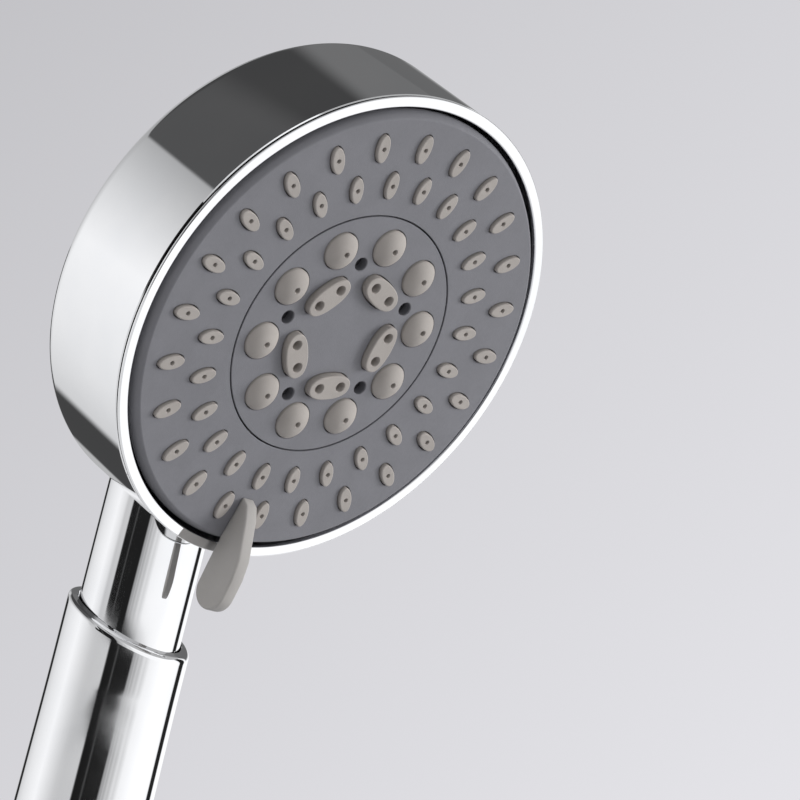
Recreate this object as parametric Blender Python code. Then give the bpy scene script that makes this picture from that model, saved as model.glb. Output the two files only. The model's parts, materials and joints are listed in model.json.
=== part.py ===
"""Handheld shower head: a drum-shaped head with five spray modes, tilted on a straight round handle.

The handle's axis is the Z axis and the origin is at the middle of the grip's bottom rim.
The spray face looks towards -Y, tilted down. Head pieces are modelled in the head's own frame,
which the empty head_axis places: its Z axis is the head's axis, pointing out of the spray face,
its Y axis is the face's upward direction, and its origin is the middle of the rim.
"""

import math

import bmesh
import bpy
from mathutils import Matrix, Vector

# Overall sizes, in metres.
HEAD_RADIUS = 0.0500
DRUM_DEPTH = 0.0262
DOME_DEPTH = 0.0090
HEAD_TILT = math.radians(21)
HEAD_HEIGHT = 0.1870  # where the handle's axis crosses the head's axis, above the grip's bottom rim
RIM_AHEAD = 0.0383  # from that crossing to the rim, along the head's axis
NECK_RADIUS = 0.0109
GRIP_TOP_RADIUS = 0.0131
GRIP_RADIUS = 0.0135
GRIP_FOOT_RADIUS = 0.0112
TAPER_HEIGHT = 0.0450
STEP_BELOW_CROSSING = 0.0775  # from the crossing down to the middle of the grip's oblique top
STEP_ANGLE = math.radians(20.5)
GAP = 0.0003

# The head from its spray face to its back, as heights along the head's axis.
FACE_FRONT = 0.0010
FACE_BACK = -0.0016
MAT_FRONT = FACE_BACK - GAP
MAT_BACK = MAT_FRONT - 0.0011
CHANNEL_FRONT = MAT_BACK - GAP
CHANNEL_BACK = CHANNEL_FRONT - 0.0069
SELECTOR_FRONT = CHANNEL_BACK - GAP
SELECTOR_BACK = SELECTOR_FRONT - 0.0027
SEAT_FRONT = SELECTOR_BACK - GAP
SEAT_BACK = SEAT_FRONT - 0.0032
SHELL_FLOOR = SEAT_BACK - GAP
TRIM_BACK = -0.0006
SHELL_FRONT = TRIM_BACK - GAP
TRIM_LEDGE = FACE_BACK - 0.0005
TRIM_SHOULDER = TRIM_LEDGE - 0.0010

# Radii inside the head.
TRIM_INNER = 0.0480
TRIM_WEB = 0.0005  # wall between the ring's front and its skirt
FACE_RADIUS = 0.0472
FACE_FLAT_RADIUS = 0.0455
FACE_SKIRT = 0.0459
FACE_SKIRT_INNER = 0.0443
DISC_SEAM = 0.0255
MAIN_BORE = 0.0465
TRIM_BORE = 0.0477
CHAMBER_RADIUS = 0.0300
INNER_RADIUS = FACE_SKIRT_INNER - GAP

# The spray pattern. Angles run clockwise from the top of the face, seen from the front.
NOZZLE_RINGS = ((0.0400, 7.5, 0.00310, 0.00155), (0.0320, 0.0, 0.00295, 0.00148))
NOZZLES_PER_RING = 24
NOZZLE_RISE = 0.0010
NOZZLE_HOLE = 0.00045
DOME_RING = 0.0193
DOME_COUNT = 10
DOME_BUTTON = 0.0038
DOME_RISE = 0.0019
DOME_HOLE = 0.0006
MIST_RING = 0.0152
MIST_RADIUS = 0.0014
MIST_BODY = 0.0011
MIST_BACK = CHANNEL_FRONT - 0.0026
PULSE_RING = 0.0110
PULSE_LENGTH = 0.0100
PULSE_WIDTH = 0.0052
PULSE_RISE = 0.0013
PULSE_HOLE = 0.0011
PULSE_HOLE_SPACING = 0.0052
PULSE_HOLE_SIDES = 6
MODES = 5
MIST_START = 54
PULSE_START = 18
TURBINE_RADIUS = 0.0120
TURBINE_BLADES = 8

# The selector. Its five ports are one click apart, and the lever stands at the middle one.
CLICK_ANGLE = 36
PORT_RING = 0.0180
PORT_RADIUS = 0.0028
PIVOT_RADIUS = 0.0050
DETENT_RING = 0.0240
DETENT_RADIUS = 0.0015
SEAL_RADIUS = 0.0047  # the port seal, which sits in a cup of the valve seat
CUP_FLOOR = SEAT_BACK - 0.0028
BOSS_BACK = SEAT_BACK - 0.0043
PIN_BORE_FLOOR = BOSS_BACK + 0.0008
SEAT_RADIUS = MAIN_BORE - 0.0004
SCREW_RADIUS = 0.0011
SCREW_HEAD = 0.0024
SCREW_TIP = -0.0220
SCREW_PLACES = [(0.0400, 120 * i) for i in range(3)]

# The lever. Its peg fills a slot in the spray plate, and the fin stands clear of the plate and the rim.
LEVER_THICKNESS = 0.0032
LEVER_PEG_WIDTH = 0.0018
LEVER_CLEAR = FACE_FRONT + GAP
LEVER_TIP = (0.0555, 0.0055)  # middle of its rounded end, outwards and in front of the rim
LEVER_TIP_RADIUS = 0.0040
PEG_SLOT = (-0.0421, -0.0383)

# The handle from its foot up.
NECK_FOOT = 0.0880
NECK_SOCKET_TOP = 0.1000
NECK_SEAL_HEIGHT = 0.0935
SOCKET_RADIUS = 0.0070
NECK_BORE = 0.0042
TUBE_RADIUS = 0.0064
TUBE_BORE = 0.0046
TUBE_FOOT = 0.0096
TUBE_TOP = 0.0995
GRIP_BORE = 0.0096
THREAD_RADIUS = 0.01048  # G 1/2 pipe thread, 20.955 mm over its crests
THREAD_PITCH = 0.001814
THREAD_DEPTH = 0.00116
THREAD_FOOT = -0.0130  # the nipple's open end
THREAD_TURNS = 6
INLET_BORE = 0.0072
CONNECTOR_TOP = 0.0180
CONNECTOR_RADIUS = 0.0090
FLANGE_RADIUS = 0.0110
FLANGE_BACK = -0.0014
TUBE_SEALS = (("tube_seal_lower", 0.0140), ("tube_seal_upper", 0.0955))

# Modelling values.
THROUGH_FACE = (-0.0050, 0.0040)  # cutters that pass through the spray plates and the mats
ROUND = 32  # sides of the large round pieces
SMALL = 16  # sides of the small round pieces
SEAM_TURN = math.radians(1.3)  # keeps the facets' edges of round pieces off the rows of holes
SMOOTH_BELOW = math.radians(35)


def clear_scene():
    for obj in list(bpy.data.objects):
        bpy.data.objects.remove(obj, do_unlink=True)


def finish_material(name, colour, roughness, metallic=0.0):
    material = bpy.data.materials.new(name)
    material.use_nodes = True
    shader = material.node_tree.nodes["Principled BSDF"]
    shader.inputs["Base Color"].default_value = (*colour, 1.0)
    shader.inputs["Roughness"].default_value = roughness
    shader.inputs["Metallic"].default_value = metallic
    return material


def add_object(name, bm, material=None, parent=None):
    """Turns a bmesh into a named object with smooth round faces."""
    bmesh.ops.recalc_face_normals(bm, faces=bm.faces)
    mesh = bpy.data.meshes.new(name)
    bm.to_mesh(mesh)
    bm.free()
    mesh.shade_smooth()
    mesh.set_sharp_from_angle(angle=SMOOTH_BELOW)
    obj = bpy.data.objects.new(name, mesh)
    bpy.context.scene.collection.objects.link(obj)
    obj.parent = parent
    if material:
        mesh.materials.append(material)
    return obj


def as_cutter(obj):
    obj.hide_render = True
    obj.display_type = "WIRE"
    return obj


def combine(obj, operation, *tools):
    for tool in tools:
        modifier = obj.modifiers.new(f"{operation.lower()} {tool.name}", "BOOLEAN")
        modifier.operation = operation
        modifier.solver = "EXACT"
        modifier.object = as_cutter(tool)


def turned_mesh(profile, sides=ROUND, centre=(0.0, 0.0)):
    """A closed outline of (radius, height) points, spun round the Z axis."""
    bm = bmesh.new()
    verts = [bm.verts.new((radius, 0, height)) for radius, height in profile]
    edges = [bm.edges.new((a, b)) for a, b in zip(verts, verts[1:] + verts[:1])]
    on_axis = [e for e in edges if all(abs(v.co.x) < 1e-9 for v in e.verts)]
    for edge in on_axis:
        bm.edges.remove(edge)
    bmesh.ops.spin(bm, geom=bm.verts[:] + bm.edges[:], axis=(0, 0, 1), cent=(0, 0, 0),
                   steps=sides, angle=math.tau, use_merge=True)
    bmesh.ops.remove_doubles(bm, verts=bm.verts, dist=1e-6)
    poles = [v for v in bm.verts if math.hypot(v.co.x, v.co.y) < 1e-9]
    flat = [v for v in poles if all(abs(e.other_vert(v).co.z - v.co.z) < 1e-9 for e in v.link_edges)]
    bmesh.ops.dissolve_verts(bm, verts=flat)
    bmesh.ops.rotate(bm, verts=bm.verts, cent=(0, 0, 0), matrix=Matrix.Rotation(SEAM_TURN, 3, "Z"))
    bmesh.ops.translate(bm, verts=bm.verts, vec=(*centre, 0))
    return bm


def turned(name, profile, material=None, parent=None, sides=ROUND, centre=(0.0, 0.0)):
    return add_object(name, turned_mesh(profile, sides, centre), material, parent)


def plug(radius, low, high):
    """The outline of a solid cylinder."""
    return [(0, low), (radius, low), (radius, high), (0, high)]


def sleeve(inner, outer, low, high):
    """The outline of a plain tube."""
    return [(inner, low), (outer, low), (outer, high), (inner, high)]


def section_circle(radius, wire, height, sides=6):
    """The outline of a round ring of that middle radius and that wire radius."""
    turns = [math.tau * i / sides for i in range(sides)]
    return [(radius + wire * math.cos(t), height + wire * math.sin(t)) for t in turns]


def on_face(radius, degrees):
    """A place on the spray face, clockwise from its top as seen from the front."""
    angle = math.radians(degrees)
    return radius * math.sin(angle), radius * math.cos(angle)


def add_post(bm, outline, low, high, top_scale=1.0):
    """Adds one closed post to bm: a flat outline of (x, y) points carried from low to high."""
    middle = sum((Vector(p) for p in outline), Vector((0, 0))) / len(outline)
    foot = [bm.verts.new((x, y, low)) for x, y in outline]
    head = [middle + (Vector(p) - middle) * top_scale for p in outline]
    head = [bm.verts.new((p.x, p.y, high)) for p in head]
    bm.faces.new(foot[::-1])
    bm.faces.new(head)
    for i in range(len(outline)):
        j = (i + 1) % len(outline)
        bm.faces.new((foot[i], foot[j], head[j], head[i]))


def ellipse(radius, degrees, long_half, short_half, sides=10):
    """An ellipse on the spray face whose long axis points at the face's middle."""
    centre = Vector(on_face(radius, degrees))
    out = Vector(on_face(1, degrees))
    across = Vector((out.y, -out.x))
    turns = [math.tau * i / sides for i in range(sides)]
    return [centre + out * long_half * math.cos(t) + across * short_half * math.sin(t) for t in turns]


def capsule(radius, degrees, length, width, sides=4):
    """A round-ended slot on the spray face, lying across the line to the face's middle."""
    centre = Vector(on_face(radius, degrees))
    out = Vector(on_face(1, degrees))
    across = Vector((out.y, -out.x))
    points = []
    for end in (1, -1):
        for i in range(sides + 1):
            t = math.pi * (i / sides - 0.5)
            along = end * ((length - width) / 2 + width / 2 * math.cos(t))
            points.append(centre + across * along + out * end * width / 2 * math.sin(t))
    return points


def posts(name, outlines, low, high, parent, top_scale=1.0):
    bm = bmesh.new()
    for outline in outlines:
        add_post(bm, outline, low, high, top_scale)
    return add_object(name, bm, None, parent)


def holes_at(places, radius, sides=8):
    return [ellipse(ring, degrees, radius, radius, sides) for ring, degrees in places]


def swept(name, path, radius, parent, sides=24):
    """A round bar along a path of (y, z) points in the plane X = 0."""
    bm = bmesh.new()
    rings = []
    for i, (y, z) in enumerate(path):
        before, after = path[max(i - 1, 0)], path[min(i + 1, len(path) - 1)]
        along = Vector((0, after[0] - before[0], after[1] - before[1])).normalized()
        side = along.cross(Vector((1, 0, 0)))
        turns = [math.tau * k / sides for k in range(sides)]
        centre = Vector((0, y, z))
        ring = [centre + radius * (Vector((math.cos(t), 0, 0)) + side * math.sin(t)) for t in turns]
        rings.append([bm.verts.new(p) for p in ring])
    for low, high in zip(rings, rings[1:]):
        for i in range(sides):
            j = (i + 1) % sides
            bm.faces.new((low[i], low[j], high[j], high[i]))
    bm.faces.new(rings[0][::-1])
    bm.faces.new(rings[-1])
    return add_object(name, bm, None, parent)


def coil_spring(name, radius, wire, low, high, turns, place, material, parent):
    """A round-wire compression spring along the head's axis."""
    steps = 10 * turns
    curve = bpy.data.curves.new(name, "CURVE")
    curve.dimensions = "3D"
    curve.bevel_depth = wire
    curve.bevel_resolution = 1
    curve.use_fill_caps = True
    spline = curve.splines.new("POLY")
    spline.points.add(steps)
    for i, point in enumerate(spline.points):
        angle = math.tau * turns * i / steps
        height = low + wire + (high - low - 2 * wire) * i / steps
        x = place[0] + radius * math.cos(angle)
        y = place[1] + radius * math.sin(angle)
        point.co = (x, y, height, 1)
    obj = bpy.data.objects.new(name, curve)
    bpy.context.scene.collection.objects.link(obj)
    obj.parent = parent
    curve.materials.append(material)
    return obj


def handle_point(below):
    """A point of the handle's axis in the head's frame, that far below the crossing, as (y, z)."""
    return -below * math.cos(HEAD_TILT), -RIM_AHEAD + below * math.sin(HEAD_TILT)


def neck_path():
    """Straight up the handle's axis, then an arc that lays the neck into the back of the drum."""
    straight_end = 0.075
    arc_start = 0.052
    arc_radius = 0.055
    arc_end = math.radians(15)
    steps = 10
    path = [handle_point(HEAD_HEIGHT - NECK_FOOT), handle_point(straight_end)]
    start_y, start_z = handle_point(arc_start)
    for i in range(steps + 1):
        lean = -HEAD_TILT + (HEAD_TILT + arc_end) * i / steps
        y = start_y + arc_radius * (math.sin(lean) + math.sin(HEAD_TILT))
        z = start_z + arc_radius * (math.cos(HEAD_TILT) - math.cos(lean))
        path.append((y, z))
    return path


def dome_outline(radius, top, depth, steps=8):
    """Points of a shallow round cap from the axis out to its edge."""
    sphere = (radius**2 + depth**2) / (2 * depth)
    edge = math.asin(radius / sphere)
    points = []
    for i in range(steps + 1):
        angle = edge * i / steps
        points.append((sphere * math.sin(angle), top - depth + sphere * (1 - math.cos(angle))))
    return points


def head_shell(material, head):
    """The chromed head moulding: drum wall, domed back, water chamber and neck."""
    edge = 0.0022
    outline = dome_outline(HEAD_RADIUS - edge, -DRUM_DEPTH, DOME_DEPTH)
    outline += [(HEAD_RADIUS, -DRUM_DEPTH + edge), (HEAD_RADIUS, SHELL_FRONT), (0, SHELL_FRONT)]
    shell = turned("head_shell", outline, material, head)
    neck = swept("neck_form", neck_path(), NECK_RADIUS, head)
    ledge = TRIM_SHOULDER - GAP
    mouth_radius = TRIM_INNER + TRIM_WEB + GAP
    chamber_back = -0.0265
    cavity = dome_outline(CHAMBER_RADIUS, chamber_back, 0.0050, 5)
    cavity += [
        (CHAMBER_RADIUS, SHELL_FLOOR), (MAIN_BORE, SHELL_FLOOR), (MAIN_BORE, CHANNEL_BACK),
        (TRIM_BORE, CHANNEL_BACK), (TRIM_BORE, ledge), (mouth_radius, ledge), (mouth_radius, 0.005),
        (0, 0.005),
    ]
    hollow = turned("cavity_form", cavity, None, head)
    bore_foot = handle_point(HEAD_HEIGHT - NECK_SOCKET_TOP + 0.002)
    bore_path = [bore_foot, handle_point(0.071), (-0.047, -0.0245), (-0.026, -0.0235)]
    bore = swept("neck_bore_form", bore_path, NECK_BORE, head, 12)
    socket_path = [handle_point(HEAD_HEIGHT - NECK_FOOT + 0.005), handle_point(HEAD_HEIGHT - NECK_SOCKET_TOP)]
    socket = swept("neck_socket_form", socket_path, SOCKET_RADIUS, head, SMALL)
    screw_holes = posts("screw_hole_form", holes_at(SCREW_PLACES, SCREW_RADIUS + GAP), SCREW_TIP - 0.0005,
                        SHELL_FLOOR + 0.001, head)
    combine(shell, "UNION", neck)
    combine(shell, "DIFFERENCE", hollow, bore, socket, screw_holes, neck_seal_groove(head))
    return shell


def neck_seal_groove(head):
    """The ring cut round the neck for its seal, along the handle's axis."""
    width = 0.0018
    depth = 0.0010
    bm = turned_mesh(sleeve(NECK_RADIUS - depth, NECK_RADIUS + depth, -width / 2, width / 2), 24)
    y, z = handle_point(HEAD_HEIGHT - NECK_SEAL_HEIGHT)
    to_handle = Matrix.Rotation(-math.pi / 2 - HEAD_TILT, 4, "X")
    bmesh.ops.transform(bm, verts=bm.verts, matrix=Matrix.Translation((0, y, z)) @ to_handle)
    return add_object("neck_groove_form", bm, None, head)


def trim_ring(material, head):
    """The bright ring round the spray face, with a skirt that grips inside the drum."""
    edge = 0.0003
    foot = -0.0080
    web_outer = TRIM_INNER + TRIM_WEB
    skirt_outer = TRIM_BORE - GAP
    skirt_inner = MAIN_BORE
    outline = [
        (TRIM_INNER, -edge), (TRIM_INNER + edge, 0), (HEAD_RADIUS - edge, 0), (HEAD_RADIUS, -edge),
        (HEAD_RADIUS, TRIM_BACK), (web_outer, TRIM_BACK), (web_outer, TRIM_SHOULDER),
        (skirt_outer, TRIM_SHOULDER), (skirt_outer, foot), (skirt_inner, foot),
        (skirt_inner, TRIM_LEDGE), (TRIM_INNER, TRIM_LEDGE),
    ]
    return turned("trim_ring", outline, material, head)


def face_ring(material, head):
    """The grey outer spray plate, a shallow cup with an oval hole for each nozzle."""
    lip = FACE_BACK + 0.0001
    outline = [
        (DISC_SEAM + GAP / 2, FACE_FRONT), (FACE_FLAT_RADIUS, FACE_FRONT), (0.0466, 0.0006),
        (FACE_RADIUS, 0), (FACE_RADIUS, lip), (FACE_SKIRT, lip), (FACE_SKIRT, CHANNEL_BACK),
        (FACE_SKIRT_INNER, CHANNEL_BACK), (FACE_SKIRT_INNER, FACE_BACK),
        (DISC_SEAM + GAP / 2, FACE_BACK),
    ]
    plate = turned("face_ring", outline, material, head)
    holes = posts("nozzle_hole_form", nozzle_outlines(GAP), *THROUGH_FACE, head)
    slot = posts("lever_slot_form", [box_outline(LEVER_PEG_WIDTH / 2 + GAP, *PEG_SLOT)], *THROUGH_FACE, head)
    combine(plate, "DIFFERENCE", holes, slot)
    return plate


def nozzle_outlines(growth):
    outlines = []
    for radius, start, long_half, short_half in NOZZLE_RINGS:
        for i in range(NOZZLES_PER_RING):
            degrees = start + 360 * i / NOZZLES_PER_RING
            outlines.append(ellipse(radius, degrees, long_half + growth, short_half + growth, 6))
    return outlines


def nozzle_places():
    return [(ring[0], ring[1] + 360 * i / NOZZLES_PER_RING)
            for ring in NOZZLE_RINGS for i in range(NOZZLES_PER_RING)]


def nozzle_mat_outer(material, head):
    """The soft mat whose nozzles stand through the outer plate, so that limescale rubs off."""
    mat_inner = DISC_SEAM + 0.0020
    mat = turned("nozzle_mat_outer", sleeve(mat_inner, INNER_RADIUS, MAT_BACK, MAT_FRONT), material, head)
    nubs = posts("nub_form", nozzle_outlines(0), MAT_BACK + GAP, FACE_FRONT + NOZZLE_RISE, head)
    holes = posts("jet_form", holes_at(nozzle_places(), NOZZLE_HOLE, 4), *THROUGH_FACE, head)
    combine(mat, "UNION", nubs)
    combine(mat, "DIFFERENCE", holes)
    return mat


def dome_places():
    return [(DOME_RING, 360 * i / DOME_COUNT) for i in range(DOME_COUNT)]


def ring_of_five(radius, start):
    return [(radius, start + 360 * i / MODES) for i in range(MODES)]


def pulse_outlines(growth):
    places = ring_of_five(PULSE_RING, PULSE_START)
    return [capsule(r, a, PULSE_LENGTH + 2 * growth, PULSE_WIDTH + 2 * growth) for r, a in places]


def pulse_holes():
    """Two jets side by side through each oval pad."""
    outlines = []
    for radius, degrees in ring_of_five(PULSE_RING, PULSE_START):
        centre = Vector(on_face(radius, degrees))
        out = Vector(on_face(1, degrees))
        across = Vector((out.y, -out.x))
        for side in (-0.5, 0.5):
            middle = centre + across * PULSE_HOLE_SPACING * side
            outlines.append([middle + PULSE_HOLE * Vector((math.cos(t), math.sin(t)))
                             for t in [math.tau * i / PULSE_HOLE_SIDES for i in range(PULSE_HOLE_SIDES)]])
    return outlines


def face_disc(material, head):
    """The middle spray plate, with holes for the buttons, the pads and the mist jets."""
    disc = turned("face_disc", plug(DISC_SEAM - GAP / 2, FACE_BACK, FACE_FRONT), material, head)
    buttons = posts("button_hole_form", holes_at(dome_places(), DOME_BUTTON + GAP, 8), *THROUGH_FACE, head)
    pads = posts("pad_hole_form", pulse_outlines(GAP), *THROUGH_FACE, head)
    mist = posts("mist_hole_form", holes_at(ring_of_five(MIST_RING, MIST_START), MIST_RADIUS, 10),
                 *THROUGH_FACE, head)
    combine(disc, "DIFFERENCE", buttons, pads, mist)
    return disc


def nozzle_mat_inner(material, head):
    """The soft middle mat: ten domed buttons and five oval pads on one sheet."""
    mat = turned("nozzle_mat_inner", plug(DISC_SEAM - 0.0008, MAT_BACK, MAT_FRONT), material, head)
    foot = MAT_BACK + GAP
    shoulder = FACE_FRONT + DOME_RISE * 0.45
    cap_foot = shoulder - 0.0002
    cap_flat = 0.45  # how much of the button's width its flat top keeps
    straight = posts("button_form", holes_at(dome_places(), DOME_BUTTON, 8), foot, shoulder, head)
    caps = posts("button_cap_form", holes_at(dome_places(), DOME_BUTTON * 0.97, 8), cap_foot,
                 FACE_FRONT + DOME_RISE, head, cap_flat)
    pads = posts("pad_form", pulse_outlines(0), foot, FACE_FRONT + PULSE_RISE, head)
    jets = posts("button_jet_form", holes_at(dome_places(), DOME_HOLE, 4), *THROUGH_FACE, head)
    slots = posts("pad_jet_form", pulse_holes(), *THROUGH_FACE, head)
    mist = posts("mist_way_form", holes_at(ring_of_five(MIST_RING, MIST_START), MIST_RADIUS + GAP, 10),
                 *THROUGH_FACE, head)
    combine(mat, "UNION", straight, caps, pads)
    combine(mat, "DIFFERENCE", jets, slots, mist)
    return mat


def mist_inserts(material, head):
    """The little swirl cores that sit deep in the five mist jets."""
    bore = 0.0004
    for i, (radius, degrees) in enumerate(ring_of_five(MIST_RING, MIST_START), 1):
        outline = sleeve(bore, MIST_BODY, MIST_BACK + GAP, FACE_FRONT - 0.0016)
        turned(f"mist_insert_{i}", outline, material, head, 10, on_face(radius, degrees))


def channel_plate(material, head):
    """The plate behind the mats, whose rings of channels carry the water to each nozzle group."""
    floor = CHANNEL_BACK + 0.0018
    rib = 0.0012
    chamber = TURBINE_RADIUS + 0.0006
    chamber_floor = CHANNEL_FRONT - 0.0041
    washer_recess = 0.0070
    ways = ((0.0362, INNER_RADIUS - rib), (0.0285, 0.0350))
    outline = [(0, chamber_floor), (0, floor), (washer_recess, floor), (washer_recess, CHANNEL_BACK),
               (INNER_RADIUS, CHANNEL_BACK), (INNER_RADIUS, CHANNEL_FRONT)]
    for inner, outer in ways:
        outline += [(outer, CHANNEL_FRONT), (outer, floor), (inner, floor), (inner, CHANNEL_FRONT)]
    outline += [(chamber, CHANNEL_FRONT), (chamber, chamber_floor)]
    plate = turned("channel_plate", outline, material, head)
    sockets = posts("mist_socket_form", holes_at(ring_of_five(MIST_RING, MIST_START), MIST_BODY + GAP, 10),
                    MIST_BACK, 0, head)
    axle = turned("turbine_axle_form", plug(0.0014, chamber_floor - 0.0004, CHANNEL_FRONT - GAP), None,
                  head, 16)
    ports = [(0.0320, CLICK_ANGLE * 2), (0.0400, -CLICK_ANGLE * 2), (0.0195, 0),
             (0.0195, -CLICK_ANGLE), (0.0090, CLICK_ANGLE)]
    feeds = posts("feed_form", holes_at(ports, 0.0016, 10), CHANNEL_BACK - 0.001, CHANNEL_FRONT + 0.001, head)
    combine(plate, "UNION", axle)
    combine(plate, "DIFFERENCE", sockets, feeds)
    return plate


def turbine(material, axis):
    """The pulse wheel: slanted blades between a hub and a rim."""
    low = CHANNEL_FRONT - 0.0037
    high = CHANNEL_FRONT - 0.0005
    hub = sleeve(0.0018, 0.0036, low, high)
    rim = sleeve(TURBINE_RADIUS - 0.0010, TURBINE_RADIUS, low, high)
    wheel = turned("turbine", hub, material, axis, SMALL)
    ring = turned("turbine_rim_form", rim, None, axis, 40)
    root = 0.0030
    tip = TURBINE_RADIUS - 0.0005
    blade = [Vector(p) for p in ((root, -0.0005), (tip, 0.0012), (tip, 0.0020), (root, 0.0003))]
    bm = bmesh.new()
    for i in range(TURBINE_BLADES):
        turn = Matrix.Rotation(math.tau * i / TURBINE_BLADES, 2)
        add_post(bm, [turn @ p for p in blade], low + GAP, high - GAP)
    blades = add_object("turbine_blade_form", bm, None, axis)
    combine(wheel, "UNION", blades, ring)
    return wheel


def selector_plate(material, head):
    """The turning valve plate: five ports, and a track of dimples for the click pin."""
    plate = turned("selector_plate", sleeve(PIVOT_RADIUS + 0.0004, INNER_RADIUS, SELECTOR_BACK,
                                           SELECTOR_FRONT), material, head)
    clicks = [CLICK_ANGLE * i for i in range(-2, 3)]
    below = SELECTOR_BACK - 0.001
    track_half = 0.0020
    track_floor = SELECTOR_BACK + 0.0008
    dimple_floor = SELECTOR_BACK + 0.0013
    ports = posts("port_form", holes_at([(PORT_RING, a) for a in clicks], PORT_RADIUS, 14),
                  below, SELECTOR_FRONT + 0.001, head)
    track = turned("track_form", sleeve(DETENT_RING - track_half, DETENT_RING + track_half, below,
                                        track_floor), None, head)
    dimples = posts("dimple_form", holes_at([(DETENT_RING, 90 + a) for a in clicks], 0.0013, 10),
                    below, dimple_floor, head)
    combine(plate, "DIFFERENCE", track, ports, dimples)
    return plate


def valve_seat(material, head):
    """The fixed plate behind the selector: its pivot, the port seal's pocket and the click pin's bore."""
    groove_front = SEAT_FRONT - 0.0005
    groove_back = groove_front - 0.0021
    groove_radius = SEAT_RADIUS - 0.0018
    pivot_top = SELECTOR_FRONT - 0.0002
    outline = [
        (0, SEAT_BACK), (SEAT_RADIUS, SEAT_BACK), (SEAT_RADIUS, groove_back), (groove_radius, groove_back),
        (groove_radius, groove_front), (SEAT_RADIUS, groove_front), (SEAT_RADIUS, SEAT_FRONT),
        (PIVOT_RADIUS, SEAT_FRONT), (PIVOT_RADIUS, pivot_top), (0, pivot_top),
    ]
    seat = turned("valve_seat", outline, material, head)
    top = SEAT_FRONT + 0.001
    inside = SEAT_BACK + 0.001
    cup = [(PORT_RING, 0)]
    pin = [(DETENT_RING, 90)]
    cup_boss = posts("cup_boss_form", holes_at(cup, 0.0066, 24), BOSS_BACK, inside, head)
    pin_boss = posts("pin_boss_form", holes_at(pin, 0.0034, 16), BOSS_BACK, inside, head)
    cup_bore = posts("cup_bore_form", holes_at(cup, SEAL_RADIUS + GAP, 24), CUP_FLOOR, top, head)
    cup_way = posts("cup_way_form", holes_at(cup, 0.0030, 16), BOSS_BACK - 0.001, top, head)
    pin_bore = posts("pin_bore_form", holes_at(pin, DETENT_RADIUS + GAP, 16), PIN_BORE_FLOOR, top, head)
    pivot_bore = turned("pivot_bore_form", plug(0.0017, inside, pivot_top + 0.001), None, head, 12)
    shanks = posts("shank_form", holes_at(SCREW_PLACES, SCREW_RADIUS + GAP), SEAT_BACK - 0.001, top, head)
    heads = posts("screw_head_form", holes_at(SCREW_PLACES, SCREW_HEAD + GAP, 16), SEAT_FRONT - 0.0018,
                  top, head)
    combine(seat, "UNION", cup_boss, pin_boss)
    combine(seat, "DIFFERENCE", cup_bore, cup_way, pin_bore, pivot_bore, shanks, heads)
    return seat


def cheese_head_screw(name, place, shank, head_radius, foot, shoulder, top, material, parent):
    """A screw whose head is above shoulder and whose shank runs down to foot, with a cross recess."""
    outline = [(0, foot), (shank * 0.5, foot), (shank, foot + shank), (shank, shoulder),
               (head_radius, shoulder), (head_radius, top), (0, top)]
    screw = turned(name, outline, material, parent, 16, place)
    bm = bmesh.new()
    arm = head_radius * 0.55
    width = head_radius * 0.14
    x, y = place
    for across in (0, 1):
        half = (arm, width) if across else (width, arm)
        outline = [(x + sx * half[0], y + sy * half[1]) for sx, sy in ((-1, -1), (1, -1), (1, 1), (-1, 1))]
        add_post(bm, outline, top - (top - shoulder) * (0.5 - 0.05 * across), top + 0.001)
    cross = add_object(f"{name}_cross_form", bm, None, parent)
    combine(screw, "DIFFERENCE", cross)
    screw.modifiers[-1].use_self = True  # the two arms of the cross run through each other
    return screw


def valve_parts(seal, steel, brass, plastic, head, pin_axis):
    """What the valve seat carries: seals, springs, the click pin and the screws."""
    seat_seal_wire = 0.0008
    seat_seal_height = SEAT_FRONT - 0.00155
    turned("seat_seal", section_circle(SEAT_RADIUS - 0.0007, seat_seal_wire, seat_seal_height), seal, head)
    cup_place = on_face(PORT_RING, 0)
    cup_low = SEAT_FRONT - 0.0028
    turned("port_seal", sleeve(0.0024, SEAL_RADIUS, cup_low, SEAT_FRONT), seal, head, SMALL, cup_place)
    coil_spring("port_seal_spring", 0.0038, 0.0003, CUP_FLOOR + GAP, cup_low - GAP, 2, cup_place, steel, head)
    nose = SELECTOR_BACK + 0.0005
    pin_low = SEAT_FRONT - 0.0018
    outline = [(0, pin_low), (DETENT_RADIUS, pin_low), (DETENT_RADIUS, nose - 0.0009),
               (DETENT_RADIUS * 0.75, nose - 0.0003), (0, nose)]
    turned("detent_pin", outline, plastic, pin_axis, 16)
    coil_spring("detent_spring", 0.0011, 0.00025, PIN_BORE_FLOOR + GAP, pin_low - GAP, 4,
                on_face(DETENT_RING, 90), steel, head)
    washer_front = CHANNEL_BACK + 0.0004
    turned("pivot_washer", sleeve(0.0018, 0.0064, CHANNEL_BACK, washer_front), steel, head, SMALL)
    cheese_head_screw("pivot_screw", (0.0, 0.0), 0.0014, 0.0036, SEAT_BACK + 0.0014, washer_front + GAP,
                      washer_front + GAP + 0.0008, brass, head)
    for i, (radius, degrees) in enumerate(SCREW_PLACES, 1):
        cheese_head_screw(f"seat_screw_{i}", on_face(radius, degrees), SCREW_RADIUS, SCREW_HEAD, SCREW_TIP,
                          SEAT_FRONT - 0.0015, SEAT_FRONT - GAP, brass, head)


def box_outline(half_width, low, high):
    return [(-half_width, low), (half_width, low), (half_width, high), (-half_width, high)]


def arc_points(centre, radius, start, end, steps):
    turns = [math.radians(start + (end - start) * i / steps) for i in range(steps + 1)]
    return [(centre[0] + radius * math.cos(t), centre[1] + radius * math.sin(t)) for t in turns]


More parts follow.
